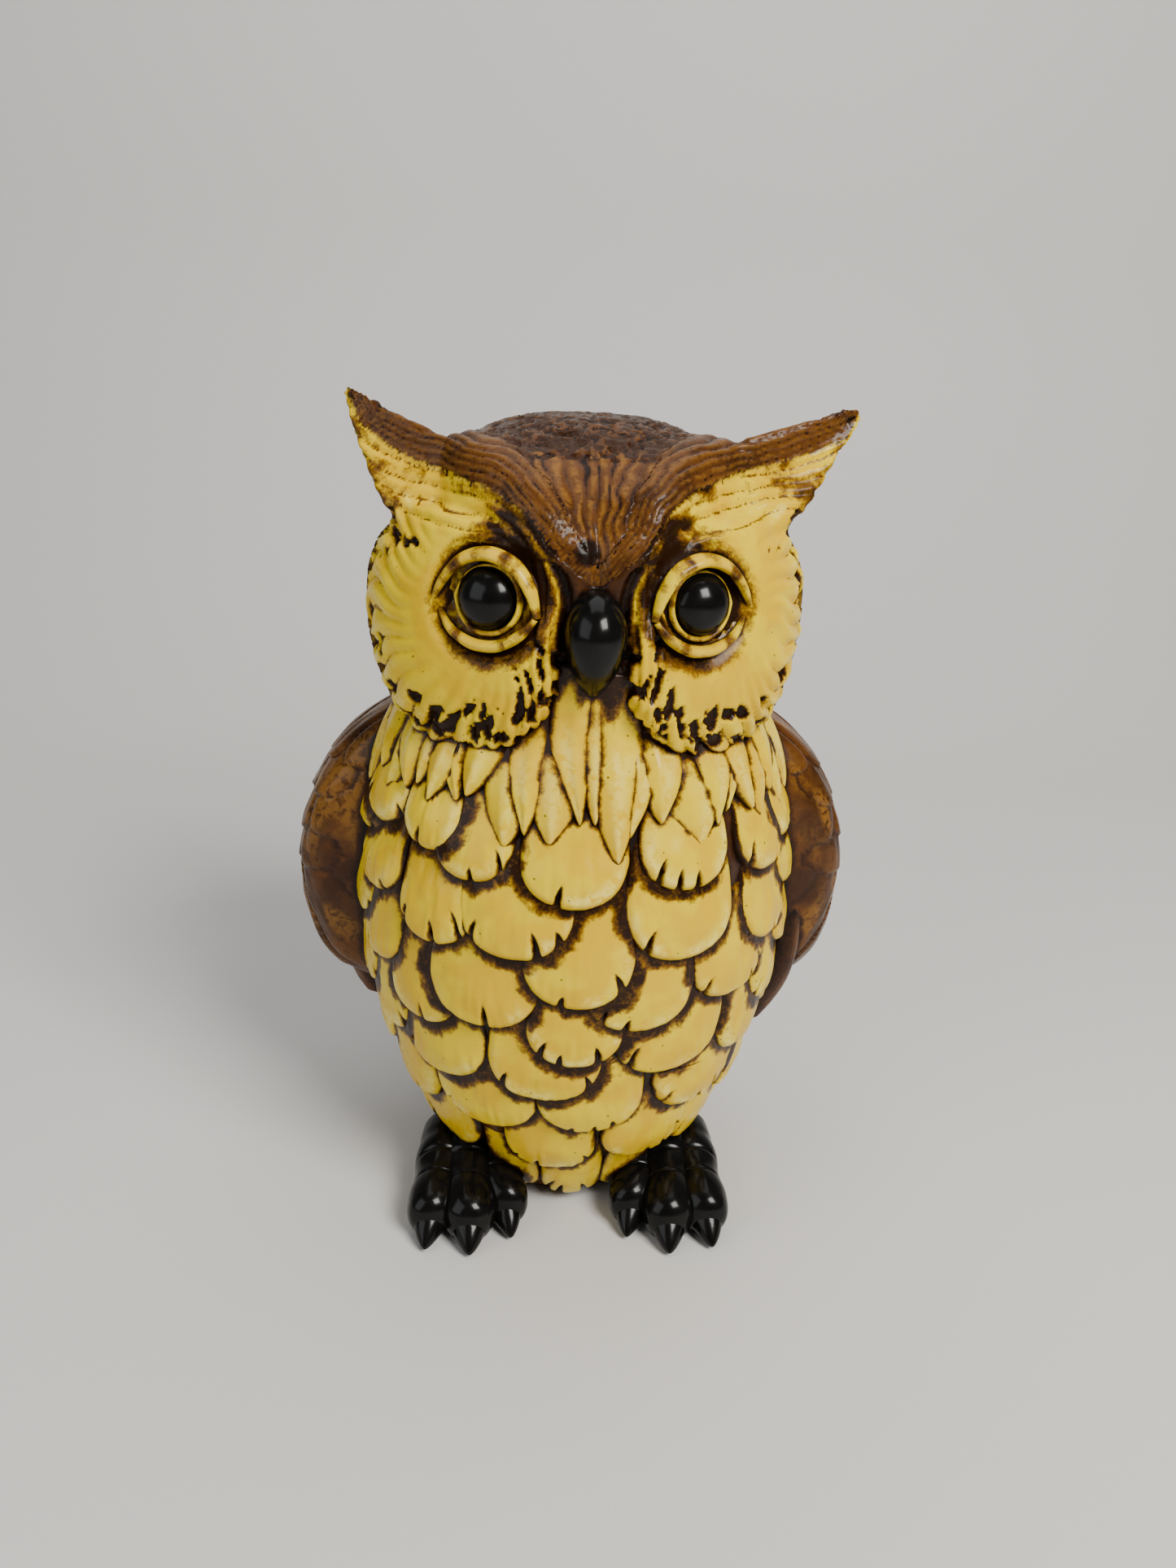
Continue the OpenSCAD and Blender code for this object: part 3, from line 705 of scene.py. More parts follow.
side_of = np.where(points[:, 0] > 0, 1, -1)
way, far, reach = np.zeros(len(points)), np.zeros(len(points)), np.zeros(len(points))
along, above = np.zeros(len(points)), np.zeros(len(points))
for side in (1, -1):
    here = side_of == side
    way[here], far[here], reach[here] = face_place(points[here], side)
    along[here], above[here] = brow_place(points[here], side)
x, y, z = points.T
front = normals[:, 1] < 0.15
ear_part = ease(-2, 3, z - np.interp(np.abs(x), [20, 34, 46, 52, 60], [232, 224, 212, 204, 200]))

# brow and ear: combed lines that run along the ridge and close up towards the beak
width = np.interp(along, *BROW_WIDTH)
lane = above / width
sway = 0.14 * rough(points, 11, 21) + 0.06 * rough(points, 4, 22)
comb = np.abs(np.sin(np.pi * (lane * 4.5 + sway * 4.5))) ** 0.55
combed = ease(-0.12, 0.02, lane) * ease(1.35, 1.05, lane) * (y < -4) * (z > 194)
rake = np.abs(np.sin(np.pi * (above / 3.4 + along * 2.2 + sway * 2.5))) ** 0.8
raked = ease(0.02, -0.15, lane) * ease(-1.75, -1.2, lane) * (z > 203) * ease(0.08, 0.25, along) * front
nape = (np.abs(x) > 36) & (normals[:, 1] > 0.15) & (z > 212)
comb_back = np.abs(np.sin(np.pi * (z / 2.6 + sway * 3))) ** 0.6

# face discs: raked outwards from the eye, nicked round the rim and in a broken row inside it
swirl = way + 9 * rough(points, 15, 31) + far * 0.30 * np.sign(way) * (np.abs(way) > 20)
raking = np.abs(np.sin(np.radians(swirl * 20))) ** 0.8
tooth = 1.5 * (raking - 0.6) * ((way < 35) & (way > -170))
inside = reach + tooth - far
on_disc = ease(-0.2, 0.6, inside) * (z < 212) * front * (1 - combed)
open_way = (way < 25) & (way > -150)
gouge = 0.0
for back, share, seed in ((14.5, 0.50, 57), (8.5, 0.80, 51), (1.7, 0.55, 54)):
    place_in = swirl / 8.2 + 0.37 * seed + side_of * 40
    k = np.floor(place_in)
    luck = [np.modf(np.abs(np.sin(k * 12.9898 + seed * 78.233 + n * 37.7)) * 43758.5453)[0]
            for n in range(4)]
    tall = (far - reach + back - 6.0 * (luck[0] - 0.5) * (back > 5)) / (1.3 + 1.9 * luck[1])
    blot = (((place_in - k - 0.5) / (0.34 + 0.22 * luck[2])) ** 2 + tall ** 2 +
            rough(points, 2.8, seed + 2) + 0.8 * rough(points, 1.3, seed + 3))
    gouge = np.maximum(gouge, ease(1.15, 0.8, blot) * (luck[3] < share + 0.2 * (way < -60)) * open_way)
pits = ease(0.93, 1.0, rough(points, 2.2, 58)) * ease(14, 20, far)
beside_beak = ease(21, 14, np.abs(x)) * (z < 200) * (far > 12.5)
strands = np.abs(np.sin(x * 1.25 + 1.6 * rough(points, 8, 61))) ** 0.5

# forehead: streaks that fan up from the beak, and a stippled cap over the crown
fan = np.degrees(np.arctan2(x, z - 190))
streak = (np.abs(np.sin(np.radians(fan * 27) + 1.5 * rough(points * [1, 1, 0.35], 8, 71) +
                        1.2 * rough(points * [1, 1, 0.35], 3.5, 73))) ** 0.8)
cap_line = 223.5 + 1.5 * rough(points, 6, 72)
forehead = (y < 0) * ease(1.02, 1.2, lane) * ease(1, -1.5, z - cap_line) * (z > 194) * (np.abs(x) < 40)
worm = 1 - np.abs(rough(points, 2.3, 81) + 0.35 * rough(points, 1.2, 82)) * 2.2
capped = ease(-1, 1, z - cap_line) * ease(1.1, 1.3, lane)
back_head = ((y > -6) | (z > 222)) & (lane > 1.1) | (y > 8)
capped = np.where(back_head, np.maximum(capped, ease(1.1, 1.4, np.where(y > 8, 9, lane))), capped)
behind = ease(-2, -4, inside) * (y > -16) * (np.abs(x) > 30) * (1 - ear_part)
capped = np.maximum(capped, behind) * (1 - nape)

tool = np.zeros(len(points))
tool -= 0.85 * (1 - comb) * combed
tool -= 0.9 * (1 - rake) * raked
tool -= 0.5 * (1 - comb_back) * nape
tool -= on_disc * (1 - raked) * ease(15, 38, far) * 1.6 * (1 - raking) * (1 - beside_beak)
tool -= on_disc * beside_beak * 1.1 * (1 - strands)
tool -= (1.7 * gouge + 0.5 * pits) * on_disc
tool -= 1.8 * ease(2.2, 0.2, np.abs(inside + 1.6)) * (1 - ear_part) * (z < 206) * (y < 6) * (lane < -0.3)
tool += 0.5 * on_disc * ease(0, 2.5, inside) * ease(6, 2.5, inside) * open_way
tool -= (0.45 + 0.35 * rough(points, 5, 74)) * (1 - streak) * forehead
tool += 0.6 * (worm - 0.4) * capped
tool += 0.15 * rough(points, 5, 91)
points = points + normals * tool[:, None]
head_mesh.vertices.foreach_set("co", (points * MM).astype(np.float32).ravel())
head_mesh.update()
facing = np.empty(len(points) * 3, np.float32)
head_mesh.vertex_normals.foreach_get("vector", facing)
facing = facing.reshape(-1, 3)

eye_ring = ease(18.8, 14.6, far + 0.8 * rough(points, 4, 57))
socket = np.clip(eye_ring * (0.55 + 0.5 * ease(60, 120, way) + 0.3 * ease(-40, -90, way)), 0, 1)
socket = np.maximum(socket, ease(13.8, 12.6, far))
wash = np.maximum.reduce([ease(0.55, 0.15, comb) * combed * 0.75,
                          ease(0.45, 0.1, rake) * raked * 0.62,
                          gouge * on_disc * 1.2,
                          pits * on_disc * 0.8,
                          socket * 0.85,
                          ease(0.45, 0.1, raking) * on_disc *
                          (0.50 + 0.35 * rough(points, 7, 59)) * ease(20, 40, far),
                          ease(0.5, 0.1, strands) * beside_beak * on_disc * 0.7,
                          ease(0.3, -0.5, inside) * ease(-5, -2.5, inside) * (z < 206) * (1 - ear_part) *
                          0.8 * (y < 10) * (lane < -0.3),
                          ease(0.75, 0.2, streak) * forehead * (0.55 + 0.4 * rough(points, 6, 75)),
                          ease(4.5, 2.0, np.hypot(x + 2.5, z - 202.4)) * (y < 0) * 0.8,
                          ease(0.35, 0.0, worm) * capped * 0.8,
                          ease(0.5, 0.1, comb_back) * nape * 0.7])
w = np.where(way < -90, way + 360, way)
lines = rough(np.stack([along * 22, above, side_of * 9.0], -1), 1.7, 97)
over_eye = (ease(12.5, 14.0, far) * ease(58, 98, w + 12 * lines) * ease(222, 196, w) * np.clip(
    ease(26, 17, far + 3 * rough(points, 5, 98)) + 0.35 * lines, 0, 1) * (0.84 + 0.28 * lines) *
    (np.abs(x) > 6) * (above < 1))
over_eye = over_eye * (1 - 0.75 * strands * beside_beak) * ease(8, 11, np.abs(x))
stain = (ease(12, 1, -above) * (above < 0.5) * (z > 200) * front *
         np.clip(0.30 + 0.40 * rough(points, 8, 93) + 0.25 * rough(points, 2.5, 94), 0, 1))
ear_stain = (ear_part * front * ease(0.30, 0.62, along) * (above < 0.5) * np.clip(
    0.34 + 0.42 * rough(points * [1, 1, 0.6], 6, 99) + 0.2 * rough(points, 2, 92), 0, 1) *
    ease(-1.5, -5, above))
wash = np.maximum.reduce([wash, over_eye, stain, ear_stain])
rub = np.maximum.reduce([ease(0.75, 1, comb) * combed * 0.7,
                         ease(0.8, 1, raking) * on_disc * ease(25, 45, far),
                         ease(0.75, 1, streak) * forehead,
                         ease(0.8, 1, worm) * capped * 0.35])
below_brow = ease(0.4, -0.4, above + 0.5 * rough(points, 3, 95))
yellow = (below_brow * (y < np.where(np.abs(x) > 50, -8, -14)) *
          np.maximum(on_disc, front * (z > 199) * (np.abs(x) > 10)))

faces = np.empty(len(head_mesh.polygons) * 4, np.int32)
head_mesh.polygons.foreach_get("vertices", faces)
faces = faces.reshape(-1, 4)


def painted_two(name, first, second, by, bump):
    """Two paints on one part, the second wherever the mark is 1."""
    material = painted(name, first, bump, 0.08, 0.10)
    nodes, links = material.node_tree.nodes, material.node_tree.links
    one = next(n for n in nodes if n.type == "GROUP")
    two = nodes.new("ShaderNodeGroup")
    two.node_tree = ANTIQUE_PAINT
    for key, value in second.items():
        two.inputs[key].default_value = value
    chosen, mix = nodes.new("ShaderNodeAttribute"), nodes.new("ShaderNodeMix")
    chosen.attribute_name, mix.data_type = by, "RGBA"
    links.new(chosen.outputs["Fac"], mix.inputs["Factor"])
    links.new(one.outputs["Color"], mix.inputs["A"])
    links.new(two.outputs["Color"], mix.inputs["B"])
    coords, worms = nodes.new("ShaderNodeTexCoord"), nodes.new("ShaderNodeTexNoise")
    for key, value in (("Scale", 420), ("Detail", 1), ("Distortion", 0.8)):
        worms.inputs[key].default_value = value
    links.new(coords.outputs["Object"], worms.inputs["Vector"])
    shape, cap, dark, low = (nodes.new(kind) for kind in ("ShaderNodeMapRange", "ShaderNodeAttribute",
                                                          "ShaderNodeMix", "ShaderNodeMath"))
    shape.interpolation_type = "SMOOTHSTEP"
    shape.inputs["From Min"].default_value, shape.inputs["From Max"].default_value = 0.56, 0.48
    links.new(worms.outputs["Fac"], shape.inputs["Value"])
    cap.attribute_name, low.operation, dark.data_type = "cap", "MULTIPLY", "RGBA"
    links.new(shape.outputs["Result"], low.inputs[0])
    links.new(cap.outputs["Fac"], low.inputs[1])
    links.new(low.outputs[0], dark.inputs["Factor"])
    links.new(mix.outputs["Result"], dark.inputs["A"])
    dark.inputs["B"].default_value = (0.030, 0.010, 0.003, 1)
    links.new(dark.outputs["Result"], nodes["Principled BSDF"].inputs["Base Color"])
    bump_node = next(n for n in nodes if n.type == "BUMP")
    sunk, paint_height = nodes.new("ShaderNodeMath"), bump_node.inputs["Height"].links[0].from_socket
    sunk.operation = "SUBTRACT"
    links.new(paint_height, sunk.inputs[0])
    links.new(low.outputs[0], sunk.inputs[1])
    links.new(sunk.outputs[0], bump_node.inputs["Height"])
    return material


HEAD_PAINT = painted_two("head_paint", BROWN, YELLOW, "yellow", 0.4)
ear_spot = (np.abs(x) > 33) & (ear_part > 0.5) & (z > 205)
brow_spot = ((combed > 0.5) | (raked > 0.5)) & ~ear_spot & (np.abs(x) < 46) & (y < -10)
disc_spot = (inside > -1.2) & (z < 212) & front & ~ear_spot & ~brow_spot & (y < 8)
region = np.where(ear_spot, 1, np.where(brow_spot, 2, np.where(disc_spot, 3, 0)))
face_region = np.sort(region[faces], axis=1)[:, 1]
face_side = np.where(points[faces][..., 0].mean(1) > 0, 1, -1)
face_region = np.where(face_region == 0, 0, face_region * face_side)


head_marks = {"wash": wash, "rub": rub, "yellow": yellow, "cap": capped}


def parted(chosen, thickness=1.6):
    """The chosen faces as a closed shell: the tooled face, a plain back and a rim."""
    quads = faces[chosen]
    used, local = np.unique(quads, return_inverse=True)
    quads = local.reshape(-1, 4)
    n = len(used)
    sides = np.stack([quads, np.roll(quads, -1, 1)], -1).reshape(-1, 2)
    key = sides.min(1) * (n + 1) + sides.max(1)
    _, first, count = np.unique(key, return_index=True, return_counts=True)
    lone = sides[first[count == 1]]
    rim = np.stack([lone[:, 1], lone[:, 0], lone[:, 0] + n, lone[:, 1] + n], -1)
    under = points[used] - normals[used] * thickness
    full = {mark: value[used] for mark, value in head_marks.items()}
    return {"points": np.vstack([points[used], under]),
            "quads": np.vstack([quads, quads[:, ::-1] + n, rim]),
            "facing": np.vstack([facing[used], -facing[used]]), "outer": len(quads),
            "tris": np.zeros((0, 3), int), "marks": {k: np.concatenate([v, v]) for k, v in full.items()}}


seen = np.bincount(faces[face_region == 0].ravel(), minlength=len(points)) > 0
sunk = points - normals * 1.9 * (~seen)[:, None]
core = {"points": sunk, "quads": faces, "tris": np.zeros((0, 3), int), "marks": head_marks}
place("head_casting", core, HEAD_PAINT, "brown_glaze", "head_shell")
for side, which in ((1, "left"), (-1, "right")):
    place(f"{which}_ear", parted(face_region == side), HEAD_PAINT, "brown_glaze", f"{which}_ear_tuft")
    place(f"{which}_brow_ridge", parted(face_region == 2 * side), HEAD_PAINT, "brown_glaze",
          f"{which}_brow")
    place(f"{which}_face_disc", parted(face_region == 3 * side), HEAD_PAINT, "yellow_glaze",
          f"{which}_facial_disc")

# ---- Eyes ---------------------------------------------------------------------------------------
# A black bead stands in a shallow brown iris. Round it is a thin ring, then a heavy upper lid
# that laps the lower one at both corners, all modelled one by one and painted yellow.
EYE_Z = 190.0


def at_eye(side, a, b, out):
    """Points over one eye: away from the beak, up, and out from the face."""
    r = CROWN_FLAT + np.sqrt(CROWN_H ** 2 - (EYE_Z - HEAD_Z + b) ** 2)
    d = np.sqrt(r ** 2 - a ** 2) + out
    t = np.radians(EYE_TURN)
    return np.stack([side * (np.sin(t) * d + np.cos(t) * a), -np.cos(t) * d + np.sin(t) * a,
                     EYE_Z + b + 0 * d], -1)


def lid(side, path, size, seed):
    """A rolled strip of clay along a path of (a, b, out), with its width and height at each step."""
    path, size = np.array(path, float), np.array(size, float)
    steps = np.linspace(0, len(path) - 1, 90)
    way_ = np.stack([np.interp(steps, np.arange(len(path)), path[:, k]) for k in range(3)], -1)
    for _ in range(60):
        way_[1:-1] = (way_[:-2] + 2 * way_[1:-1] + way_[2:]) / 4
    wide, tall = (np.interp(steps, np.linspace(0, len(path) - 1, len(size)), size[:, k])[:, None]
                  for k in (0, 1))
    heading = np.gradient(way_[:, :2], axis=0)
    heading /= np.linalg.norm(heading, axis=1)[:, None]
    around_ = np.radians(np.linspace(0, 360, 28, endpoint=False))[None, :]
    across = wide * np.cos(around_)
    up_ = tall * np.sin(around_)
    a_ = way_[:, :1] - heading[:, 1:] * across
    b_ = way_[:, 1:2] + heading[:, :1] * across
    wobble = 1 + 0.06 * rough(np.stack([a_, b_, seed + 0 * a_], -1), 4, seed)
    stain = np.clip(0.22 + 0.35 * rough(np.stack([a_, b_, seed + 0 * a_], -1), 2.6, seed + 5), 0, 1)
    return loft(at_eye(side, a_, b_, way_[:, 2:] + up_ * wobble),
                rub=0.2 * ease(0.7, 1, np.sin(around_)) + 0 * a_,
                wash=np.maximum(ease(0.35, -0.3, np.sin(around_)) * 1.4, stain + 0.78))


BLACK_GLOSS = bpy.data.materials.new("black_gloss")
BLACK_GLOSS.use_nodes = True
nodes, links = BLACK_GLOSS.node_tree.nodes, BLACK_GLOSS.node_tree.links
smear, coords, tint, grey = (nodes.new(kind) for kind in ("ShaderNodeTexNoise", "ShaderNodeTexCoord",
                                                          "ShaderNodeMapRange", "ShaderNodeMix"))
smear.inputs["Scale"].default_value, smear.inputs["Detail"].default_value = 260, 3
links.new(coords.outputs["Object"], smear.inputs["Vector"])
tint.inputs["To Min"].default_value, tint.inputs["To Max"].default_value = 0.10, 0.26
links.new(smear.outputs["Fac"], tint.inputs["Value"])
links.new(tint.outputs["Result"], nodes["Principled BSDF"].inputs["Roughness"])
grey.data_type = "RGBA"
grey.inputs["A"].default_value = (0.0015, 0.0015, 0.0015, 1)
grey.inputs["B"].default_value = (0.006, 0.0055, 0.005, 1)
links.new(smear.outputs["Fac"], grey.inputs["Factor"])
links.new(grey.outputs["Result"], nodes["Principled BSDF"].inputs["Base Color"])
skin = nodes.new("ShaderNodeBump")
skin.inputs["Strength"].default_value, skin.inputs["Distance"].default_value = 0.12, 0.0005
links.new(smear.outputs["Fac"], skin.inputs["Height"])
links.new(skin.outputs["Normal"], nodes["Principled BSDF"].inputs["Normal"])
nodes["Principled BSDF"].inputs["Specular IOR Level"].default_value = 0.2

LID_PAINT = painted("lid_paint", {**YELLOW, "Wash reach": -0.62})
for side, which in ((1, "left"), (-1, "right")):
    polar = np.radians(np.linspace(1, 179, 60))[:, None]
    round_ = np.radians(np.linspace(0, 360, 72, endpoint=False))[None, :]
    t = np.radians(EYE_TURN)
    out_way = np.array([side * np.sin(t), -np.cos(t), 0])
    across_way = np.array([side * np.cos(t), np.sin(t), 0])
    centre = out_way * 52.2 + across_way * 0.9 + [0, 0, EYE_Z - 0.2]
    ball = (out_way * np.cos(polar)[..., None] + across_way * (np.sin(polar) * np.cos(round_))[..., None] +
            np.array([0, 0, 1.0]) * (np.sin(polar) * np.sin(round_))[..., None]) * 8.8 + centre
    place(f"{which}_eye_bead", loft(ball), BLACK_GLOSS, "black_gloss", f"{which}_eye")
    s = np.linspace(0.05, 1, 26)[:, None]
    round_ = np.radians(np.linspace(0, 360, 100, endpoint=False))[None, :]
    a, b = 1.2 + 13.6 * s * np.cos(round_), 10.8 * s * np.sin(round_)
    dip = -1.6 + 3.1 * s ** 4 + 0.35 * rough(np.stack([a, b, 0 * a + side], -1), 1.6, 7)
    dish = np.concatenate([at_eye(side, a, b, dip), at_eye(side, a[-1:], b[-1:], np.full((1, 100), -4.5))])
    glaze = 1.14 + 0.25 * rough(np.stack([a, b, 0 * a], -1), 1.3, 9) + 0.35 * ease(0.82, 0.96, s)
    iris = loft(dish, wash=np.vstack([glaze, np.ones((1, 100))]), rub=0.0)
    lids = [
        iris,
        lid(side, [(-12.8, -3.2, 1.0), (-11.8, 3.2, 2.4), (-7.5, 9.0, 3.2), (0, 11.6, 3.4),
                   (7.5, 9.6, 3.2), (12.6, 4.0, 2.6), (16.4, -2.4, 1.4)],
            [(0.8, 0.8), (1.4, 2.0), (1.7, 2.4), (1.7, 2.4), (1.6, 2.2), (1.3, 1.9), (0.6, 1.0)], 1),
        lid(side, [(14.0, -3.4, 1.0), (10.2, -8.0, 1.9), (3.5, -11.0, 2.3), (-3.5, -10.9, 2.3),
                   (-9.4, -7.6, 2.0), (-12.4, -3.4, 1.2)],
            [(0.6, 0.8), (1.2, 1.6), (1.5, 2.0), (1.5, 2.0), (1.3, 1.7), (0.7, 0.9)], 2),
    ]
    ring_a = [(9.0 * np.cos(q), 8.9 * np.sin(q), 0.4) for q in np.radians(np.linspace(0, 362, 24))]
    lids.append(lid(side, ring_a, [(0.75, 1.3)] * 3, 3))
    place(f"{which}_eye_lids", together(lids), LID_PAINT, "yellow_glaze", f"{which}_eye_rim")

# ---- Beak ---------------------------------------------------------------------------------------
# A smooth drop-shaped casting set into the face, dipped in black gloss.
t, v = np.linspace(0.012, 0.988, 70)[:, None], np.radians(np.linspace(0, 360, 80, endpoint=False))[None, :]
z = 194.2 - 27.0 * t
half = 8.1 * np.sin(np.pi * t ** 0.86) ** 0.62 * (1.04 - 0.16 * t)
crest = 11.5 * np.sin(np.pi * t ** 0.8) ** 0.7
y = (-55.0 - np.where(np.cos(v) > 0, crest * np.abs(np.cos(v)) ** 0.9,
                      -4.0 * np.abs(np.cos(v)) * np.sin(np.pi * t)) + 1.2 * t)
place("beak_casting", loft(np.stack([half * np.sin(v), y, z + 0 * v], -1)), BLACK_GLOSS, "black_gloss",
      "beak")

# ---- Feet and claws -----------------------------------------------------------------------------
# Each foot is three thick toes with ridged knuckles side by side, and each toe ends in a stubby
# claw. The feet were glazed black and cemented under the front of the body.
TOES = [       # each toe: across from the foot's middle, where its tip is, turn, radius
    (-13, -52, -14, 7.0), (-1, -59, -3, 7.6), (12, -56.5, 9, 7.2),
]
FOOT_X = 30.0


def toe(side, ahead_x, tip_y, turn, radius, claw):
    t = np.linspace(0, 1, 80)[:, None]
    v = np.radians(np.linspace(0, 360, 56, endpoint=False))[None, :]
    lean = np.tan(np.radians(turn))
    if claw:
        y = tip_y + 8.5 - 8.0 * t
        z = 5.6 - 3.6 * t ** 1.5
        size = radius * 0.66 * (1 - t ** 1.4) ** 0.75 + 0.25
        size = size * (1 + 0.10 * np.exp(-((t - 0.06) / 0.05) ** 2))
    else:
        y = -20 + (tip_y + 5.0 + 20) * t
        z = 14.5 - 7.6 * ease(0.0, 0.95, t)
        size = (radius + 1.6 * (1 - t) ** 1.2 +
                0.38 * np.cos((t - 0.34) * 16) * ease(0.15, 0.3, t) * ease(1.0, 0.85, t))
        size = size * np.sqrt(np.clip(1 - ((t - 0.84) / 0.165) ** 2, 0.003, 1)) ** (t > 0.84)
    x = FOOT_X + ahead_x + lean * (y - tip_y) * -1
    px = x + size * np.sin(v)
    pz = z + size * (1 + 0.08 * (not claw)) * np.cos(v)
    knuckle = (np.abs(t - 0.52) - 0.10) / 0.012
    crease = 0 if claw else -0.5 * np.exp(-knuckle ** 2) * ease(0.1, 0.8, np.cos(v))
    pts = np.stack([side * px, y + 0 * v, np.maximum(pz + crease, 0.15)], -1)
    return loft(pts)


for side, which in ((1, "left"), (-1, "right")):
    place(f"{which}_toes", together([toe(side, *one, False) for one in TOES]), BLACK_GLOSS, "black_gloss",
          f"{which}_foot")
    place(f"{which}_claw_set", together([toe(side, *one, True) for one in TOES]), BLACK_GLOSS,
          "black_gloss", f"{which}_claws")

# ---- The wash and painted shade settle ----------------------------------------------------------
# Once the owl is together, every point is darkened by how shut in it is, so every piece is measured
# against all of its neighbours with rays. This is the oil wash left in the hollows and also painted
# shade: the dark of crevices, undersides and joins between pieces put into the colour.
whole = bpy.data.meshes.new("whole_owl")
all_points, all_loops, all_starts, all_facing, start, loops = [], [], [], [], 0, 0
for piece in CASTINGS:
    across = np.empty(len(piece.data.loops) * 3, np.float32)
    piece.data.corner_normals.foreach_get("vector", across)
    corner = np.empty(len(piece.data.loops), np.int32)
    piece.data.loops.foreach_get("vertex_index", corner)
    turned_to = np.zeros((len(piece.data.vertices), 3), np.float32)
    turned_to[corner] = across.reshape(-1, 3)
    all_facing.append(turned_to)
    co = np.empty(len(piece.data.vertices) * 3, np.float32)
    piece.data.vertices.foreach_get("co", co)
    loop = np.empty(len(piece.data.loops), np.int32)
    piece.data.loops.foreach_get("vertex_index", loop)
    begin = np.empty(len(piece.data.polygons), np.int32)
    piece.data.polygons.foreach_get("loop_start", begin)
    begin = begin[:OUTER[piece.name]]
    loop = loop[:begin[-1] + 4] if len(begin) < len(piece.data.polygons) else loop
    all_points.append(co)
    all_loops.append(loop + start)
    all_starts.append(begin + loops)
    start, loops = start + len(piece.data.vertices), loops + len(loop)
whole.vertices.add(start)
whole.vertices.foreach_set("co", np.concatenate(all_points))
whole.loops.add(loops)
whole.loops.foreach_set("vertex_index", np.concatenate(all_loops))
whole.polygons.add(sum(map(len, all_starts)))
whole.polygons.foreach_set("loop_start", np.concatenate(all_starts))
whole.update(calc_edges=True)
outward = whole.attributes.new("facing", "FLOAT_VECTOR", "POINT")
outward.data.foreach_set("vector", np.concatenate(all_facing).ravel())
whole_owl = bpy.data.objects.new("whole_owl", whole)
bpy.context.scene.collection.objects.link(whole_owl)


# Finds how shut in each point is: painted shade for crevices, undersides and joins, also standing for the
# pooled wash.
def recess_shade_finder():
    tree = bpy.data.node_groups.new("recess_shade_finder", "GeometryNodeTree")
    face = tree.interface
    face.new_socket("Geometry", in_out="INPUT", socket_type="NodeSocketGeometry")
    for name, kind, value in (("Reach", "NodeSocketFloat", 0.010), ("Rays", "NodeSocketInt", 24),
                              ("Seed", "NodeSocketInt", 4), ("Gain", "NodeSocketFloat", 1.0),
                              ("Paint", "NodeSocketMaterial", None)):
        socket = face.new_socket(name, in_out="INPUT", socket_type=kind)
        if value is not None:
            socket.default_value = value
    face.new_socket("Geometry", in_out="OUTPUT", socket_type="NodeSocketGeometry")
    nodes, link = tree.nodes, tree.links.new
    given, result = nodes.new("NodeGroupInput"), nodes.new("NodeGroupOutput")
    named = nodes.new("GeometryNodeInputNamedAttribute")
    named.data_type = "FLOAT_VECTOR"
    named.inputs["Name"].default_value = "facing"
    normal, position = named.outputs["Attribute"], nodes.new("GeometryNodeInputPosition").outputs[0]
    begin, end = nodes.new("GeometryNodeRepeatInput"), nodes.new("GeometryNodeRepeatOutput")
    begin.pair_with_output(end)
    end.repeat_items.clear()
    end.repeat_items.new("FLOAT", "Shut in")
    link(given.outputs["Rays"], begin.inputs["Iterations"])

    def vector(kind, a, b=None, scale=None):
        node = nodes.new("ShaderNodeVectorMath")
        node.operation = kind
        link(a, node.inputs[0])
        if b is not None:
            link(b, node.inputs[1])
        if scale is not None:
            node.inputs["Scale"].default_value = scale
        return node.outputs["Vector"]

    def number(kind, a, b):
        node = nodes.new("ShaderNodeMath")
        node.operation = kind
        for socket, value in zip(node.inputs, (a, b)):
            if isinstance(value, (int, float)):
                socket.default_value = value
            else:
                link(value, socket)
        return node.outputs[0]

    chance = nodes.new("FunctionNodeRandomValue")
    chance.data_type = "FLOAT_VECTOR"
    chance.inputs[0].default_value, chance.inputs[1].default_value = (-1, -1, -1), (1, 1, 1)
    link(number("ADD", begin.outputs["Iteration"], given.outputs["Seed"]), chance.inputs["Seed"])
    scattered = vector("SCALE", vector("NORMALIZE", chance.outputs[0]), scale=0.92)
    heading = vector("NORMALIZE", vector("ADD", normal, scattered))
    ray = nodes.new("GeometryNodeRaycast")
    link(given.outputs["Geometry"], ray.inputs["Target Geometry"])
    link(vector("ADD", position, vector("SCALE", normal, scale=0.00025)), ray.inputs["Source Position"])
    link(heading, ray.inputs["Ray Direction"])
    link(given.outputs["Reach"], ray.inputs["Ray Length"])
    near = number("SUBTRACT", 1.0, number("DIVIDE", ray.outputs["Hit Distance"], given.outputs["Reach"]))
    shut = number("MULTIPLY", ray.outputs["Is Hit"], number("POWER", near, 0.6))
    link(number("ADD", begin.outputs["Shut in"], shut), end.inputs["Shut in"])
    share = number("MULTIPLY", number("DIVIDE", end.outputs["Shut in"], given.outputs["Rays"]),
                   given.outputs["Gain"])
    blur = nodes.new("GeometryNodeBlurAttribute")
    blur.data_type = "FLOAT"
    link(share, blur.inputs[0])
    blur.inputs["Iterations"].default_value = 3
    store = nodes.new("GeometryNodeStoreNamedAttribute")
    store.data_type, store.domain = "FLOAT", "POINT"
    store.inputs["Name"].default_value = "recess_wash_and_shade"
    link(given.outputs["Geometry"], store.inputs["Geometry"])
    link(blur.outputs[0], store.inputs["Value"])
    real, paint = nodes.new("GeometryNodeRealizeInstances"), nodes.new("GeometryNodeSetMaterial")
    link(store.outputs["Geometry"], real.inputs["Geometry"])
    link(real.outputs["Geometry"], paint.inputs["Geometry"])
    link(given.outputs["Paint"], paint.inputs["Material"])
    link(paint.outputs["Geometry"], result.inputs["Geometry"])
    return tree


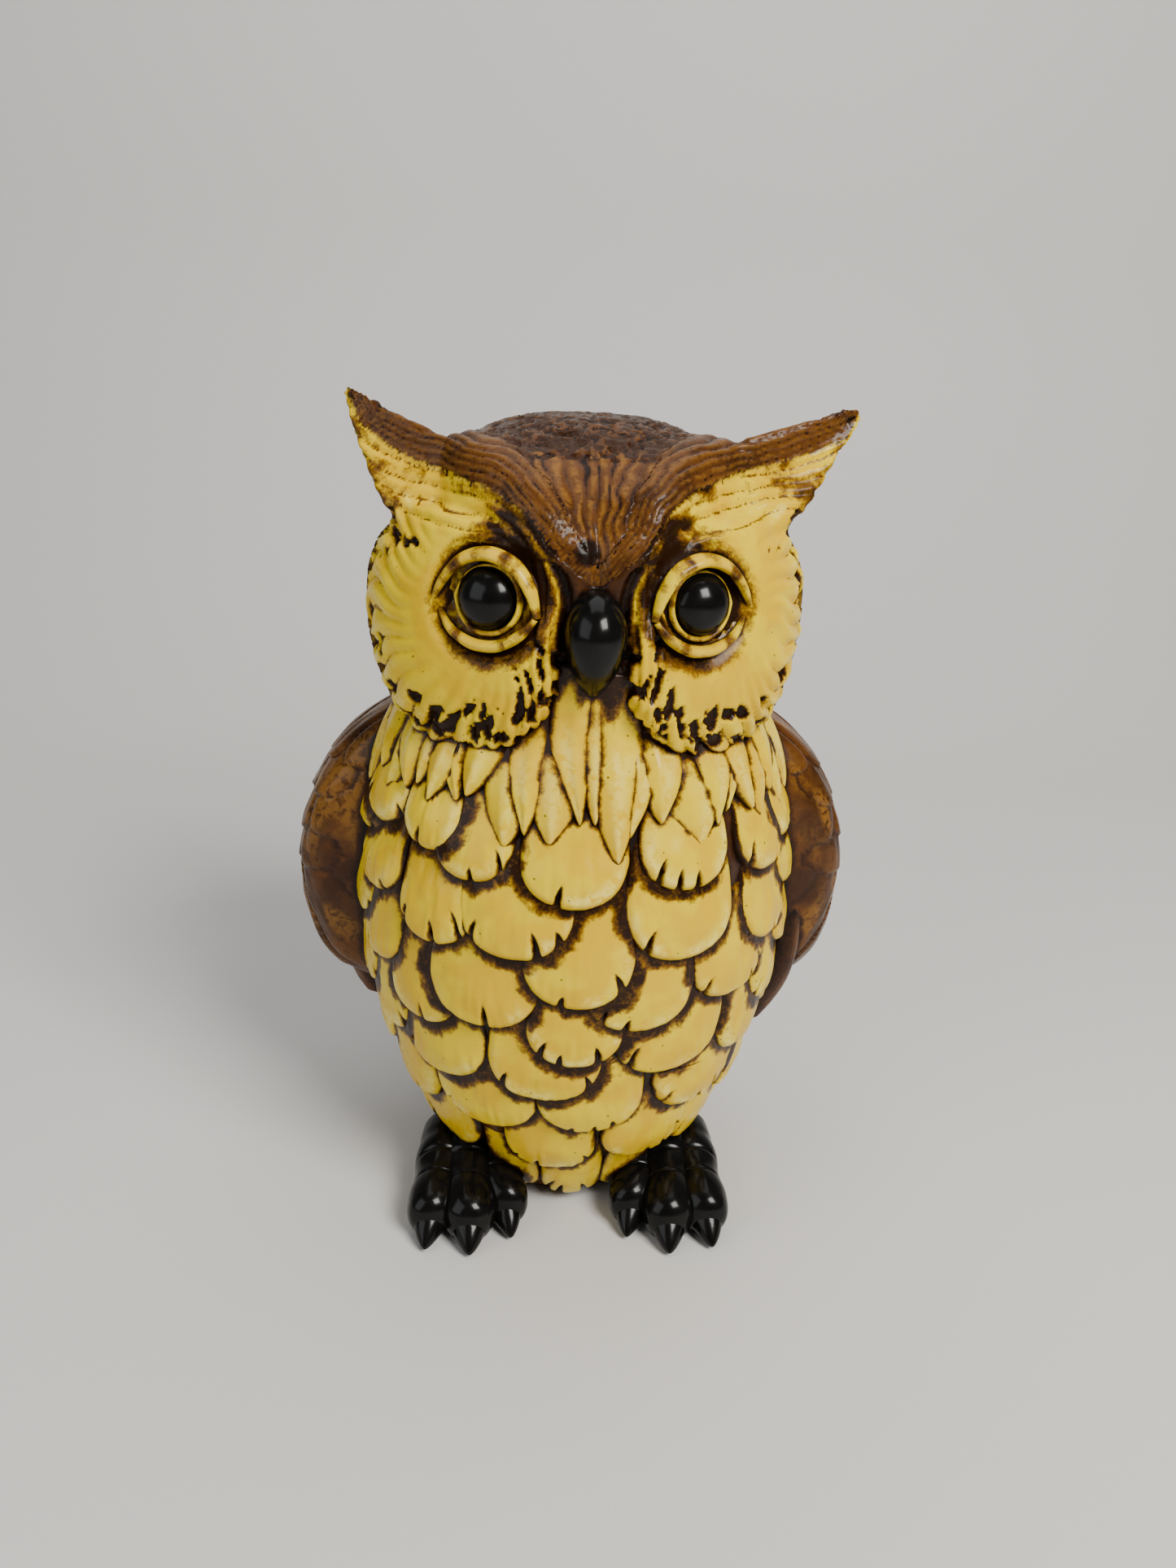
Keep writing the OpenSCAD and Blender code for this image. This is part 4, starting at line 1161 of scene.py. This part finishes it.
finder = whole_owl.modifiers.new("recess finder", "NODES")
finder.node_group = recess_shade_finder()
inputs = {item.name: item.identifier for item in finder.node_group.interface.items_tree
          if item.in_out == "INPUT"}
finder[inputs["Paint"]] = YELLOW_PAINT
finder[inputs["Gain"]] = 1.75
found = bpy.data.meshes.new_from_object(whole_owl.evaluated_get(bpy.context.evaluated_depsgraph_get()))
recess_wash_and_shade = np.empty(len(found.vertices), np.float32)
found.attributes["recess_wash_and_shade"].data.foreach_get("value", recess_wash_and_shade)
start = 0
for piece in CASTINGS:
    n = len(piece.data.vertices)
    piece.data.attributes.new("recess_wash_and_shade", "FLOAT", "POINT").data.foreach_set("value", recess_wash_and_shade[start:start + n])
    start += n
bpy.data.objects.remove(whole_owl)

# ---- Floor, light and camera --------------------------------------------------------------------
# A pale sweep, one large soft light high on the right with a smaller fill on the left, and the
# camera a little above the owl and close to it, as it would be held by hand.
bend = [(0.35 + 0.35 * np.sin(q), 0.35 - 0.35 * np.cos(q)) for q in np.radians(np.arange(6, 91, 6))]
sweep = np.concatenate([[(-4.0, 0.0), (0.35, 0.0)], bend, [(0.70, 1.6)]])
wide = np.array([-4.0, 4.0])
grid = np.stack([np.broadcast_to(wide[None, :], (len(sweep), 2)),
                 np.broadcast_to(sweep[:, :1], (len(sweep), 2)),
                 np.broadcast_to(sweep[:, 1:], (len(sweep), 2))], -1)
i = np.arange(len(sweep) - 1)[:, None] * 2
floor_mesh = bpy.data.meshes.new("floor")
floor_mesh.from_pydata((grid.reshape(-1, 3) - [0, 0, 0.0001]).tolist(), [],
                       np.hstack([i, i + 1, i + 3, i + 2]).tolist())
floor_mesh.shade_smooth()
floor = bpy.data.objects.new("floor", floor_mesh)
bpy.context.scene.collection.objects.link(floor)
pale = bpy.data.materials.new("pale_floor")
pale.use_nodes = True
pale.node_tree.nodes["Principled BSDF"].inputs["Base Color"].default_value = (0.62, 0.61, 0.59, 1)
pale.node_tree.nodes["Principled BSDF"].inputs["Roughness"].default_value = 0.6
floor.data.materials.append(pale)


def area_light(name, at, towards, size, power, color=(1, 1, 1)):
    lamp = bpy.data.lights.new(name, "AREA")
    lamp.shape, lamp.size, lamp.size_y = "RECTANGLE", size[0], size[1]
    lamp.energy, lamp.color = power, color
    holder = bpy.data.objects.new(name, lamp)
    aim = (Vector(towards) - Vector(at)).to_track_quat("-Z", "Y").to_matrix().to_4x4()
    holder.matrix_world = Matrix.Translation(at) @ aim
    bpy.context.scene.collection.objects.link(holder)


area_light("key", (0.55, -0.75, 0.95), (0, 0, 0.13), (0.5, 0.5), 23, (1.0, 0.97, 0.92))
area_light("fill", (-0.9, -0.6, 0.6), (0, 0, 0.12), (0.9, 0.9), 5, (0.95, 0.97, 1.0))
area_light("top", (0.0, 0.15, 1.2), (0, 0, 0.1), (0.9, 0.9), 4.5)
world = bpy.data.worlds.new("room")
world.use_nodes = True
world.node_tree.nodes["Background"].inputs["Color"].default_value = (0.78, 0.80, 0.83, 1)
seen_or_lit = world.node_tree.nodes.new("ShaderNodeLightPath")
room_light = world.node_tree.nodes.new("ShaderNodeMapRange")
room_light.inputs["To Min"].default_value, room_light.inputs["To Max"].default_value = 0.12, 0.62
world.node_tree.links.new(seen_or_lit.outputs["Is Camera Ray"], room_light.inputs["Value"])
world.node_tree.links.new(room_light.outputs["Result"],
                          world.node_tree.nodes["Background"].inputs["Strength"])
bpy.context.scene.world = world

pitch, roll, turn = np.radians([20.0, 2.4, -4.0])
back_way = Vector((np.sin(turn) * np.cos(pitch), -np.cos(turn) * np.cos(pitch), np.sin(pitch)))
right0 = (-back_way).cross(Vector((0, 0, 1))).normalized()
up0 = right0.cross(-back_way)
right = np.cos(roll) * right0 + np.sin(roll) * up0
up = -np.sin(roll) * right0 + np.cos(roll) * up0
lens = bpy.data.cameras.new("camera")
lens.sensor_fit, lens.sensor_height, lens.lens = "VERTICAL", 36.0, 27.05
lens.clip_start = 0.01
camera = bpy.data.objects.new("camera", lens)
camera.matrix_world = Matrix((right, up, back_way)).transposed().to_4x4()
camera.matrix_world.translation = (np.sin(turn) * 0.332 + 0.0036, -np.cos(turn) * 0.332, 0.246)
bpy.context.scene.collection.objects.link(camera)
bpy.context.scene.camera = camera
